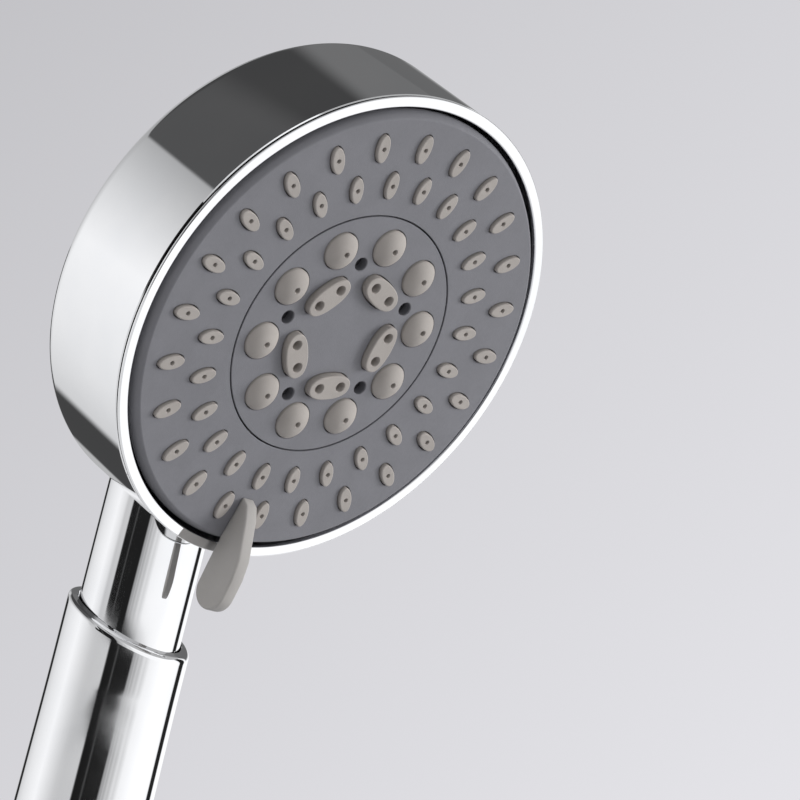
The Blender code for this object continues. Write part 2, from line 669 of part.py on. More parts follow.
def mode_lever(material, head):
    """The thumb lever: a thin fin that leaves the plate, clears the rim and ends in a rounded paddle."""
    side = [(0.0370, LEVER_CLEAR), (0.0382, 0.0036), (0.0435, 0.0064), (0.0473, 0.0083), (0.0520, 0.0093)]
    side += arc_points(LEVER_TIP, LEVER_TIP_RADIUS, 75, -80, 8)
    side += [(0.0520, 0.0012), (0.0480, 0.0009), (0.0462, LEVER_CLEAR)]
    bm = bmesh.new()
    faces = []
    for x in (-LEVER_THICKNESS / 2, LEVER_THICKNESS / 2):
        faces.append([bm.verts.new((x, -out, up)) for out, up in side])
    bm.faces.new(faces[0])
    bm.faces.new(faces[1][::-1])
    for i in range(len(side)):
        j = (i + 1) % len(side)
        bm.faces.new((faces[0][i], faces[0][j], faces[1][j], faces[1][i]))
    lever = add_object("mode_lever", bm, material, head)
    peg_outline = box_outline(LEVER_PEG_WIDTH / 2, PEG_SLOT[0] + GAP, PEG_SLOT[1] - GAP)
    peg = posts("lever_peg_form", [peg_outline], FACE_BACK + GAP, LEVER_CLEAR + 0.0012, head)
    combine(lever, "UNION", peg)
    return lever


def oblique_top(bm, low):
    """Tips every point above low onto the step's oblique plane, high at the back."""
    for vert in bm.verts:
        if vert.co.z > low:
            vert.co.z += vert.co.y * math.tan(STEP_ANGLE)


def handle_grip(material):
    """The chromed grip sleeve: tapered foot for the wall bracket, straight body, oblique top."""
    step = HEAD_HEIGHT - STEP_BELOW_CROSSING
    below_step = step - 0.0150
    neck_socket = NECK_RADIUS + GAP
    neck_stop = NECK_FOOT - 0.0010
    round_over = 0.0006
    shoulder = 0.0008
    sleeve_bore = CONNECTOR_RADIUS + GAP
    sleeve_top = CONNECTOR_TOP + 0.002
    outline = [
        (sleeve_bore, 0), (GRIP_FOOT_RADIUS - round_over, 0), (GRIP_FOOT_RADIUS, round_over),
        (GRIP_FOOT_RADIUS + 0.0014, TAPER_HEIGHT * 0.75), (GRIP_RADIUS - 0.0003, TAPER_HEIGHT),
        (GRIP_RADIUS, TAPER_HEIGHT + 0.012), (GRIP_TOP_RADIUS, below_step),
        (GRIP_TOP_RADIUS, step - shoulder), (GRIP_TOP_RADIUS - round_over, step),
        (neck_socket, step + shoulder), (neck_socket, neck_stop), (GRIP_BORE, neck_stop),
        (GRIP_BORE, sleeve_top), (sleeve_bore, sleeve_top),
    ]
    bm = turned_mesh(outline)
    oblique_top(bm, below_step + 0.001)
    return add_object("handle_grip", bm, material)


def hose_connector(material):
    """The G 1/2 nipple that the hose nut screws onto, with the sockets of the filter and the tube."""
    root = THREAD_RADIUS - THREAD_DEPTH
    tube_socket = TUBE_RADIUS + GAP
    socket_floor = TUBE_FOOT - GAP
    stop_radius = 0.0052
    stop_back = TUBE_FOOT - 0.0013
    outline = [(INLET_BORE, THREAD_FOOT), (root, THREAD_FOOT)]
    for i in range(THREAD_TURNS):
        foot = THREAD_FOOT + 0.0004 + THREAD_PITCH * i
        outline += [(root, foot), (THREAD_RADIUS, foot + THREAD_PITCH / 2)]
    outline += [
        (root, FLANGE_BACK), (FLANGE_RADIUS, FLANGE_BACK), (FLANGE_RADIUS, -GAP), (CONNECTOR_RADIUS, -GAP),
        (CONNECTOR_RADIUS, CONNECTOR_TOP), (tube_socket, CONNECTOR_TOP), (tube_socket, socket_floor),
        (stop_radius, socket_floor), (stop_radius, stop_back), (INLET_BORE, stop_back),
    ]
    return turned("hose_connector", outline, material, None, SMALL)


def filter_screen(material):
    """A dished round strainer in the inlet: a rim and a plate of small holes."""
    screen = turned("filter_screen", [(0, -0.0046), (0.0050, -0.0040), (0.0058, -0.0030), (0.0069, -0.0030),
                                      (0.0069, -0.0022), (0.0052, -0.0022), (0.0045, -0.0032),
                                      (0, -0.0038)], material, None, SMALL)
    places = [(0.0014, 120 * i) for i in range(3)] + [(0.0034, 40 * i + 15) for i in range(9)]
    holes = posts("mesh_hole_form", holes_at(places, 0.00055, 4), -0.006, 0.0, None)
    combine(screen, "DIFFERENCE", holes)
    return screen


def flow_regulator(plastic, seal):
    """The flow limiter above the strainer, a drilled body held by its own ring."""
    bore = 0.0015
    outer = 0.0066
    low = -0.0015
    high = 0.0065
    groove_floor = 0.0056
    groove_low = 0.0022
    groove_high = groove_low + 0.0014
    outline = [(bore, low), (outer, low), (outer, groove_low), (groove_floor, groove_low),
               (groove_floor, groove_high), (outer, groove_high), (outer, high), (bore, high)]
    body = turned("flow_regulator", outline, plastic, None, SMALL)
    places = [(0.0036, 60 * i) for i in range(6)]
    holes = posts("regulator_hole_form", holes_at(places, 0.0009, 6), low - 0.001, high + 0.001, None)
    combine(body, "DIFFERENCE", holes)
    o_ring = section_circle(0.0063, 0.0005, (groove_low + groove_high) / 2)
    turned("regulator_o_ring", o_ring, seal, None, SMALL)


def water_tube(plastic, seal):
    """The plastic pipe inside the grip, with a seal in a groove at each end."""
    groove = TUBE_RADIUS - 0.0009
    half = 0.0008
    outline = [(TUBE_BORE, TUBE_FOOT), (TUBE_RADIUS, TUBE_FOOT)]
    for name, height in TUBE_SEALS:
        outline += [(TUBE_RADIUS, height - half), (groove, height - half), (groove, height + half),
                    (TUBE_RADIUS, height + half)]
        turned(name, section_circle(TUBE_RADIUS - 0.0002, 0.00045, height), seal, None, SMALL)
    outline += [(TUBE_RADIUS, TUBE_TOP), (TUBE_BORE, TUBE_TOP)]
    turned("water_tube", outline, plastic, None, SMALL)


def main():
    clear_scene()
    chrome = finish_material("chrome", (0.80, 0.81, 0.82), 0.05, 1.0)
    face_grey = finish_material("face_plastic", (0.18, 0.18, 0.20), 0.45)
    lever_grey = finish_material("lever_plastic", (0.27, 0.26, 0.25), 0.45)
    silicone = finish_material("nozzle_silicone", (0.39, 0.36, 0.32), 0.55)
    valve_plastic = finish_material("valve_plastic", (0.75, 0.75, 0.72), 0.40)
    dark_plastic = finish_material("dark_plastic", (0.03, 0.03, 0.04), 0.45)
    seal_rubber = finish_material("seal_rubber", (0.02, 0.02, 0.02), 0.60)
    steel = finish_material("spring_steel", (0.60, 0.60, 0.60), 0.25, 1.0)
    brass = finish_material("screw_metal", (0.62, 0.60, 0.55), 0.30, 1.0)

    head = bpy.data.objects.new("head_axis", None)
    bpy.context.scene.collection.objects.link(head)
    head.location = (0, -RIM_AHEAD * math.cos(HEAD_TILT), HEAD_HEIGHT - RIM_AHEAD * math.sin(HEAD_TILT))
    head.rotation_euler = (math.pi / 2 + HEAD_TILT, 0, 0)
    pin_axis = bpy.data.objects.new("detent_pin_axis", None)
    bpy.context.scene.collection.objects.link(pin_axis)
    pin_axis.parent = head
    pin_axis.location = (*on_face(DETENT_RING, 90), 0)

    head_shell(chrome, head)
    trim_ring(chrome, head)
    handle_grip(chrome)
    hose_connector(chrome)
    filter_screen(steel)
    flow_regulator(valve_plastic, seal_rubber)
    water_tube(valve_plastic, seal_rubber)
    turned("neck_seal", section_circle(NECK_RADIUS - 0.0003, 0.00045, NECK_SEAL_HEIGHT), seal_rubber)
    valve_seat(valve_plastic, head)
    valve_parts(seal_rubber, steel, brass, valve_plastic, head, pin_axis)
    selector_plate(valve_plastic, head)
    channel_plate(valve_plastic, head)
    turbine(valve_plastic, head)
    nozzle_mat_outer(silicone, head)
    nozzle_mat_inner(silicone, head)
    mist_inserts(dark_plastic, head)
    face_ring(face_grey, head)
    face_disc(face_grey, head)
    mode_lever(lever_grey, head)


main()
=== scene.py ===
"""Handheld shower head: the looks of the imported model.

The sections follow the shower head as it is put together: the plated head, trim ring and
handle, the hose nipple, the grey spray plates with their soft nozzles, the lever, and at
the end what hides inside.
"""

import json
import math

import bmesh
import bpy
from mathutils import Matrix, Vector


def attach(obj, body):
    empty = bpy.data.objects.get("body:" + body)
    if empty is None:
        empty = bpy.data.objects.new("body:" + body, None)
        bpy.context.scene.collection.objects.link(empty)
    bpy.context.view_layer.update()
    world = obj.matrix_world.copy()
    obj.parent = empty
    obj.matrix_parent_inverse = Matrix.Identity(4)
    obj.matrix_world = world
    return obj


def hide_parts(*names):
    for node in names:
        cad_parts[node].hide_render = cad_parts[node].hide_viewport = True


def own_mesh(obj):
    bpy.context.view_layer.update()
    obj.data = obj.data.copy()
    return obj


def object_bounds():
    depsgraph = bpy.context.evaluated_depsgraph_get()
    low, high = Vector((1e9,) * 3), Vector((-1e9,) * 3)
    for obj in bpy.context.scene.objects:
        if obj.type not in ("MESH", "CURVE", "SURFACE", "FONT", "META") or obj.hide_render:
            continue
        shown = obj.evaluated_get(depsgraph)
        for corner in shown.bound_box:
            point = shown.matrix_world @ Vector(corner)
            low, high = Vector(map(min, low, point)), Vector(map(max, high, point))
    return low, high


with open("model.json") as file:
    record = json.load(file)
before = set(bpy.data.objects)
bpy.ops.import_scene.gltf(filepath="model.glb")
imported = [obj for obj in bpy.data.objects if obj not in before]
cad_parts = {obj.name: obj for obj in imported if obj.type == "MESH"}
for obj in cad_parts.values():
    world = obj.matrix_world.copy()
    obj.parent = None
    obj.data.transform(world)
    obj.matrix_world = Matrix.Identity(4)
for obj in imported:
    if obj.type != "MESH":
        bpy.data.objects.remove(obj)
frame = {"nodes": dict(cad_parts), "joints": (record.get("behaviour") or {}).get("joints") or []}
cad_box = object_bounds()

# ---- Camera ------------------------------------
# A long lens that looks up at the head from its left, rolled so that the handle leaves at the
# lower left. It is set out from the middle of the head's rim, on the axis that the face turns on.

face_turn = next(joint for joint in frame["joints"] if joint["name"] == "mode_select")
rim_middle = Vector(face_turn["pos_m"])
out_of_face = Vector(face_turn["axis"]).normalized()

camera_data = bpy.data.cameras.new("camera")
camera_data.lens = 180
camera_data.sensor_width = 36
camera_data.clip_end = 50
camera = bpy.data.objects.new("camera", camera_data)
bpy.context.scene.collection.objects.link(camera)
look = Vector((0.7341, 0.6765, 0.0588)).normalized()
look_right = Vector((0.6465, -0.7228, 0.2439))
look_right = (look_right - look * look_right.dot(look)).normalized()
look_up = look_right.cross(look)
camera_offset = Vector((-0.5544, -0.531, -0.0549))
camera.matrix_world = (Matrix.Translation(rim_middle + camera_offset)
                       @ Matrix((look_right, look_up, -look)).transposed().to_4x4())
bpy.context.scene.camera = camera
bpy.context.scene.view_settings.view_transform = "Standard"

# ---- Studio ------------------------------------
# A pale floor and backdrop. Bright plating shows little but its surroundings, so the soft
# boxes, the dark corners and the ceiling are set out by direction all round the object.

world = bpy.data.worlds.new("studio")
bpy.context.scene.world = world
world.use_nodes = True
room = world.node_tree
room.nodes.clear()


def room_math(operation, *values):
    """One sum in the room's light; each value is a number or another sum."""
    node = room.nodes.new("ShaderNodeMath")
    node.operation = operation
    for socket, value in zip(node.inputs, values):
        if isinstance(value, (int, float)):
            socket.default_value = value
        else:
            room.links.new(value, socket)
    return node.outputs[0]


def product(first, second):
    """The product of two numbers or sums in the room's light."""
    return room_math("MULTIPLY", first, second)


def remapped(tree, value, start, end, low, high, way="LINEAR"):
    """Carries a value from the range between start and end over to the one from low to high."""
    node = tree.nodes.new("ShaderNodeMapRange")
    node.interpolation_type = way
    tree.links.new(value, node.inputs["Value"])
    for key, number in zip(("From Min", "From Max", "To Min", "To Max"), (start, end, low, high)):
        node.inputs[key].default_value = number
    return node.outputs[0]


def eased(value, start, end):
    """0 at start and 1 at end, smooth between; start may lie above end."""
    if start < end:
        return remapped(room, value, start, end, 0, 1, "SMOOTHSTEP")
    return remapped(room, value, end, start, 1, 0, "SMOOTHSTEP")


def between(value, start, full, still, end):
    """1 from full to still, and 0 before start and past end, smooth on both sides."""
    return product(eased(value, start, full), eased(value, end, still))


def lit_over(below, mask, level):
    """Lays a patch of that level over what the room shows so far."""
    kept = product(below, room_math("SUBTRACT", 1, mask))
    return room_math("ADD", kept, product(mask, level))


direction = room.nodes.new("ShaderNodeTexCoord").outputs["Generated"]
direction_axes = room.nodes.new("ShaderNodeSeparateXYZ")
room.links.new(direction, direction_axes.inputs[0])
to_degrees = 180 / math.pi
bearing = room_math("ARCTAN2", direction_axes.outputs["Y"], direction_axes.outputs["X"])
bearing = product(bearing, to_degrees)
rise = product(room_math("ARCSINE", direction_axes.outputs["Z"]), to_degrees)

# The soft boxes at eye height, by bearing in degrees: a dark room round the camera, a wide white
# wall on the camera's right that ends in a black flag, and half-light behind the object.
eye_height_light = (  # bearing, level
    (-180, 0.5), (-159, 0.52), (-157, 0.01), (-144, 0.012), (-142, 0.06), (-140, 0.012),
    (-115, 0.012), (-112, 0.36), (-110, 0.28), (-108, 0.44), (-105, 0.35), (-102, 0.52), (-98, 0.46),
    (-93, 0.66), (-89, 0.6), (-81, 0.82), (-57, 0.95), (-33, 0.95), (-16, 0.92), (-12, 0.85),
    (-10, 0.015), (4, 0.015), (6, 0.92), (28, 0.92), (38, 0.88), (41, 0.4), (60, 0.4), (63, 0.46),
    (100, 0.7), (134, 0.84), (170, 0.52), (180, 0.5),
)
# On the dark side, the soft boxes above eye height stand further round than the ones below it.
upper_box_shift = 32
wrapped_side = product(eased(bearing, 150, 166), eased(rise, 6, 4))
dark_side = room_math("MAXIMUM", eased(bearing, -60, -112), wrapped_side)
above_eye_height = product(eased(rise, -1.1, -0.5), dark_side)
shifted = room_math("ADD", bearing, product(above_eye_height, upper_box_shift))
boxes = room.nodes.new("ShaderNodeValToRGB")
boxes.color_ramp.elements[0].position = 0
boxes.color_ramp.elements[1].position = 1
for degrees, level in eye_height_light[1:-1]:
    boxes.color_ramp.elements.new((degrees + 180) / 360)
for stop, (degrees, level) in zip(boxes.color_ramp.elements, eye_height_light):
    stop.color = (level, level, level, 1)
round_share = room_math("FRACT", room_math("DIVIDE", room_math("ADD", shifted, 180), 360))
room.links.new(round_share, boxes.inputs[0])
light = boxes.outputs[0]

# The wall on the camera's left fades upwards.
left_wall = between(bearing, 72, 78, 168, 178)
left_wall_level = 1.02
left_wall_fading = 0.0165  # with each degree of rise
faded = room_math("SUBTRACT", left_wall_level, product(room_math("MAXIMUM", rise, 0), left_wall_fading))
light = lit_over(light, left_wall, product(light, faded))

# Dark patches behind the object: high up, low down, and a narrow flag between them.
for level, across, upwards in (
        (0.12, between(bearing, 8, 14, 54, 66), eased(rise, 6, 18)),
        (0.05, between(bearing, 50, 55, 74, 79), eased(rise, -8, -11)),
        (0.02, between(bearing, 57, 60, 76, 79), between(rise, -9, -8, 5, 6))):
    light = lit_over(light, product(across, upwards), level)

# The ceiling, darkest behind the object, and the light floor.
ceiling_level = 0.4
ceiling_right, ceiling_middle, ceiling_left = 0.14, 0.048, 0.074
ground_level = 0.62
overhead = lit_over(ceiling_right, eased(bearing, 50, 62), ceiling_middle)
overhead = lit_over(overhead, eased(bearing, 98, 122), ceiling_left)
ceiling = lit_over(ceiling_level, between(bearing, 5, 30, 150, 172), overhead)
light = lit_over(light, eased(rise, 34.0, 35.5), ceiling)
light = lit_over(light, eased(rise, -30, -36), ground_level)


def share_along(axis):
    """How far the direction leans along that axis."""
    node = room.nodes.new("ShaderNodeVectorMath")
    node.operation = "DOT_PRODUCT"
    room.links.new(direction, node.inputs[0])
    node.inputs[1].default_value = axis
    return node.outputs["Value"]


# What the camera sees behind the object: pale paper, lighter towards the lower right.
paper_level, paper_darkest, paper_lightest = 0.666, 0.52, 0.8
paper_rightwards, paper_upwards = 0.56, 0.6
backdrop = room_math("ADD", paper_level, product(share_along(look_right), paper_rightwards))
backdrop = room_math("SUBTRACT", backdrop, product(share_along(look_up), paper_upwards))
backdrop = room_math("MINIMUM", room_math("MAXIMUM", backdrop, paper_darkest), paper_lightest)
room_gain = 1.17
room_light = room.nodes.new("ShaderNodeBackground")
room_light.inputs["Color"].default_value = (0.99, 0.995, 1.01, 1)
room.links.new(product(light, room_gain), room_light.inputs["Strength"])
paper = room.nodes.new("ShaderNodeBackground")
paper.inputs["Color"].default_value = (0.995, 0.99, 1.035, 1)
room.links.new(backdrop, paper.inputs["Strength"])
seen_straight = room.nodes.new("ShaderNodeLightPath").outputs["Is Camera Ray"]
room_choice = room.nodes.new("ShaderNodeMixShader")
room.links.new(seen_straight, room_choice.inputs[0])
room.links.new(room_light.outputs[0], room_choice.inputs[1])
room.links.new(paper.outputs[0], room_choice.inputs[2])
room.links.new(room_choice.outputs[0], room.nodes.new("ShaderNodeOutputWorld").inputs[0])


def shader_of(name):
    """A new material with its node tree and its Principled shader."""
    material = bpy.data.materials.new(name)
    material.use_nodes = True
    return material, material.node_tree, material.node_tree.nodes["Principled BSDF"]


floor_radius = 1.1
floor_gap = 0.0005
floor_paint, _, floor_shader = shader_of("floor_paint")
floor_shader.inputs["Base Color"].default_value = (0.78, 0.78, 0.8, 1)
floor_shader.inputs["Roughness"].default_value = 0.9
floor_bm = bmesh.new()
bmesh.ops.create_circle(floor_bm, cap_ends=True, segments=96, radius=floor_radius)
bmesh.ops.translate(floor_bm, verts=floor_bm.verts, vec=(0, 0, cad_box[0][2] - floor_gap))
floor_mesh = bpy.data.meshes.new("floor")
floor_bm.to_mesh(floor_mesh)
floor_bm.free()
floor_mesh.materials.append(floor_paint)
floor = bpy.data.objects.new("floor", floor_mesh)
bpy.context.scene.collection.objects.link(floor)
floor.visible_glossy = False


lamp_spread = math.radians(50)  # narrow, so that a lamp leaves no burnt patch on the floor below it


def soft_box(name, bearing_degrees, rise_degrees, distance, size, watts):
    """A large round lamp aimed at the head, which the plating doesn't show."""
    lamp_data = bpy.data.lights.new(name, "AREA")
    lamp_data.shape = "DISK"
    lamp_data.size = size
    lamp_data.energy = watts
    lamp_data.spread = lamp_spread
    lamp = bpy.data.objects.new(name, lamp_data)
    bpy.context.scene.collection.objects.link(lamp)
    side, lift = math.radians(bearing_degrees), math.radians(rise_degrees)
    level = math.cos(lift)
    towards = Vector((math.cos(side) * level, math.sin(side) * level, math.sin(lift)))
    lamp.location = rim_middle + towards * distance
    lamp.rotation_euler = (-towards).to_track_quat("-Z", "Y").to_euler()
    lamp.visible_glossy = False
    lamp.visible_camera = False


soft_box("key_lamp", -32, 12, distance=0.9, size=0.4, watts=0.76)
soft_box("fill_lamp", -172, 22, distance=1.4, size=0.7, watts=0.55)

# ---- Bright plating ----------------------------
# The head, trim ring, grip and hose nipple are moulded ABS or turned brass under nickel and
# chrome: a mirror with a breath of unevenness from the moulding and faint wipe marks.

noise_low, noise_high = 0.35, 0.65  # nearly all of the noise lies between these


def mottle(tree, scale, detail, low, high):
    """A soft noise pattern on the piece's own coordinates, spread between two values."""
    place = tree.nodes.new("ShaderNodeTexCoord")
    noise = tree.nodes.new("ShaderNodeTexNoise")
    noise.inputs["Scale"].default_value = scale
    noise.inputs["Detail"].default_value = detail
    tree.links.new(place.outputs["Object"], noise.inputs["Vector"])
    return remapped(tree, noise.outputs["Fac"], noise_low, noise_high, low, high)


def two_tone(tree, shader, scale, detail, first, second):
    """Two close colours that run into each other over the piece."""
    mix = tree.nodes.new("ShaderNodeMix")
    mix.data_type = "RGBA"
    mix.inputs["A"].default_value = (*first, 1)
    mix.inputs["B"].default_value = (*second, 1)
    tree.links.new(mottle(tree, scale, detail, 0, 1), mix.inputs["Factor"])
    tree.links.new(mix.outputs["Result"], shader.inputs["Base Color"])


def relief(tree, shader, layers):
    """Small bumps, one over the other: (height pattern, depth in metres) from broad to fine."""
    below = None
    for pattern, depth in layers:
        bump = tree.nodes.new("ShaderNodeBump")
        bump.inputs["Strength"].default_value = 1
        bump.inputs["Distance"].default_value = depth
        tree.links.new(pattern, bump.inputs["Height"])
        if below:
            tree.links.new(below, bump.inputs["Normal"])
        below = bump.outputs["Normal"]
    tree.links.new(below, shader.inputs["Normal"])


def metal(name, first, second, tones, gloss, bumps):
    """A metal in two close tones. Tones, gloss and bumps each start with the scale and detail of a
    noise; gloss adds the least and most roughness, and bumps the depth in metres."""
    material, tree, shader = shader_of(name)
    shader.inputs["Metallic"].default_value = 1.0
    two_tone(tree, shader, *tones, first, second)
    tree.links.new(mottle(tree, *gloss), shader.inputs["Roughness"])
    scale, detail, depth = bumps
    relief(tree, shader, [(mottle(tree, scale, detail, 0, 1), depth)])
    return material


plating = metal("bright_plating", (0.9, 0.905, 0.915), (0.94, 0.94, 0.945),
                tones=(60, 3), gloss=(90, 6, 0.022, 0.05), bumps=(55, 2, 0.000004))

# ---- Head moulding -----------------------------
# The drum, its domed back and the neck are one plated moulding. The neck is a round bar that
# rises along the handle's line, then leans back and fades into the dome.

up_the_face = (Vector((0, 0, 1)) - out_of_face * out_of_face.z).normalized()
head_place = Matrix.Translation(rim_middle) @ Matrix(
    (up_the_face.cross(out_of_face), up_the_face, out_of_face)).transposed().to_4x4()
handle_place = Matrix.Identity(4)
head_tilt = math.asin(-out_of_face.z)
drum_radius = 0.05
drum_depth = 0.0262
drum_front = -0.001
dome_depth = 0.009
dome_radius = 0.048
drum_edge = 0.0032
drum_chamfer = 0.0002
bore_radius = 0.0465
trim_bore = 0.0477
neck_radius = 0.0109
neck_foot = 0.088
neck_bend_below = 0.052
neck_bend_radius = 0.055
neck_end_lean = math.radians(15)
waterway_radius = 0.0042
tube_socket_radius = 0.007
merge_distance = 1e-7


def arc(centre, radius, start, end, steps):
    """Points of an arc in a flat section, from start to end in degrees."""
    turns = [math.radians(start + (end - start) * i / steps) for i in range(steps + 1)]
    return [(centre[0] + radius * math.cos(t), centre[1] + radius * math.sin(t)) for t in turns]


def spun(outline, sides):
    """A closed (radius, height) outline spun round Z into a closed bmesh."""
    bm = bmesh.new()
    points = [bm.verts.new((radius, 0, height)) for radius, height in outline]
    for first, second in zip(points, points[1:] + points[:1]):
        if first.co.x > merge_distance or second.co.x > merge_distance:
            bm.edges.new((first, second))
    bmesh.ops.spin(bm, geom=bm.verts[:] + bm.edges[:], axis=(0, 0, 1), cent=(0, 0, 0),
                   steps=sides, angle=math.tau, use_merge=True)
    bmesh.ops.remove_doubles(bm, verts=bm.verts, dist=merge_distance)
    return bm


def bar_along(path, radius, sides):
    """A capped round bar along points of the head's plane of symmetry."""
    bm = bmesh.new()
    rings = []
    for i, point in enumerate(path):
        along = (path[min(i + 1, len(path) - 1)] - path[max(i - 1, 0)]).normalized()
        side = along.cross(Vector((1, 0, 0)))
        turns = [math.tau * k / sides for k in range(sides)]
        rings.append([bm.verts.new(point + radius * (Vector((math.cos(t), 0, 0)) + side * math.sin(t)))
                      for t in turns])
    for low, high in zip(rings, rings[1:]):
        for i in range(sides):
            j = (i + 1) % sides
            bm.faces.new((low[i], low[j], high[j], high[i]))
    bm.faces.new(rings[0][::-1])
    bm.faces.new(rings[-1])
    return bm


def made(name, bm, material, place=head_place):
    """Turns a bmesh into an object at the origin, facing out, with its place in its mesh."""
    bmesh.ops.recalc_face_normals(bm, faces=bm.faces)
    mesh = bpy.data.meshes.new(name)
    bm.to_mesh(mesh)
    bm.free()
    mesh.transform(place)
    mesh.materials.append(material)
    obj = bpy.data.objects.new(name, mesh)
    bpy.context.scene.collection.objects.link(obj)
    return obj


def plain_mesh(obj):
    """Replaces an object's mesh with what its modifiers make of it, and drops them."""
    graph = bpy.context.evaluated_depsgraph_get()
    mesh = bpy.data.meshes.new_from_object(obj.evaluated_get(graph), depsgraph=graph)
    obj.modifiers.clear()
    obj.data = mesh


def combined(obj, operation, *tools):
    """Cuts an object with others, or joins them to it. The tools aren't kept."""
    for tool in tools:
        modifier = obj.modifiers.new(operation.lower(), "BOOLEAN")
        modifier.operation = operation
        modifier.solver = "MANIFOLD"
        modifier.object = tool
    plain_mesh(obj)
    for tool in tools:
        bpy.data.objects.remove(tool)
    return obj


def smoothed(obj, sharp_above=30):
    """Round faces shade smooth, edges sharper than the angle stay crisp, and level faces stay flat."""
    obj.data.shade_smooth()
    obj.data.set_sharp_from_angle(angle=math.radians(sharp_above))
    level_cosine = 0.99999
    for face in obj.data.polygons:
        face.use_smooth = abs(face.normal.dot(out_of_face)) < level_cosine
    return obj


def settled(obj, body, slot_name, *nodes):
    """Hangs a finished piece on the body it rides on and hides the solids it stands for. Its material slot
    name is not used.
    """
    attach(obj, body)
    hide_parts(*nodes)


rim_ahead = rim_middle.y / out_of_face.y
axes_cross_height = rim_middle.z - rim_ahead * out_of_face.z


def on_handle_line(height):
    """A point of the handle's axis at that height, as the head's own frame has it."""
    return head_place.inverted() @ Vector((0, 0, height))


dome_sphere = (dome_radius**2 + dome_depth**2) / (2 * dome_depth)
dome_centre = -drum_depth - dome_depth + dome_sphere
edge_centre = drum_radius - drum_edge
edge_height = dome_centre - math.sqrt((dome_sphere - drum_edge)**2 - edge_centre**2)
dome_end = math.degrees(math.atan2(edge_height - dome_centre, edge_centre))
drum_outline = arc((0, dome_centre), dome_sphere, -90, dome_end, 40)
drum_outline += arc((edge_centre, edge_height), drum_edge, dome_end, 0, 8)[1:]
drum_outline += [(drum_radius, drum_front - drum_chamfer), (drum_radius - drum_chamfer, drum_front),
                 (0, drum_front)]

neck_bend = on_handle_line(axes_cross_height - neck_bend_below)
neck_start = on_handle_line(neck_foot)
straight_steps, bend_steps = 12, 40
neck_path = [neck_start.lerp(neck_bend, i / straight_steps) for i in range(straight_steps)]
for i in range(bend_steps + 1):
    lean = -head_tilt + (head_tilt + neck_end_lean) * i / bend_steps
    neck_path.append(neck_bend + neck_bend_radius * Vector(
        (0, math.sin(lean) + math.sin(head_tilt), math.cos(head_tilt) - math.cos(lean))))

# The room for the valve, the bore for the spray plates and the steps that the trim ring fills.
chamber_outline = [
    (0, -0.0265), (0.02, -0.0262), (0.027, -0.0245), (0.03, -0.0215), (0.03, -0.017),
    (bore_radius, -0.017), (bore_radius, -0.0102), (trim_bore, -0.0102), (trim_bore, -0.0034),
    (0.0488, -0.0034), (0.0488, 0.001), (0, 0.001),
]
# Water comes up the neck from the tube's socket, and turns in behind the valve.
waterway = [on_handle_line(0.098), on_handle_line(0.116), Vector((0, -0.047, -0.0245)),
            Vector((0, -0.026, -0.0235))]
tube_socket = [on_handle_line(0.083), on_handle_line(0.1)]

head_moulding = made("head_moulding", spun(drum_outline, 320), plating)
combined(head_moulding, "UNION", made("neck_bar", bar_along(neck_path, neck_radius, 160), plating))
combined(head_moulding, "DIFFERENCE",
         made("chamber", spun(chamber_outline, 160), plating),
         made("waterway", bar_along(waterway, waterway_radius, 32), plating),
         made("tube_socket", bar_along(tube_socket, tube_socket_radius, 48), plating))
settled(smoothed(head_moulding), "handle_and_shell", "chrome", "head_shell")

# ---- Trim ring ---------------------------------
# A narrow plated ring pressed into the front of the drum. Its flat front is the white line round
# the spray plate, and a hair-thin joint shows between it and the drum's wall.


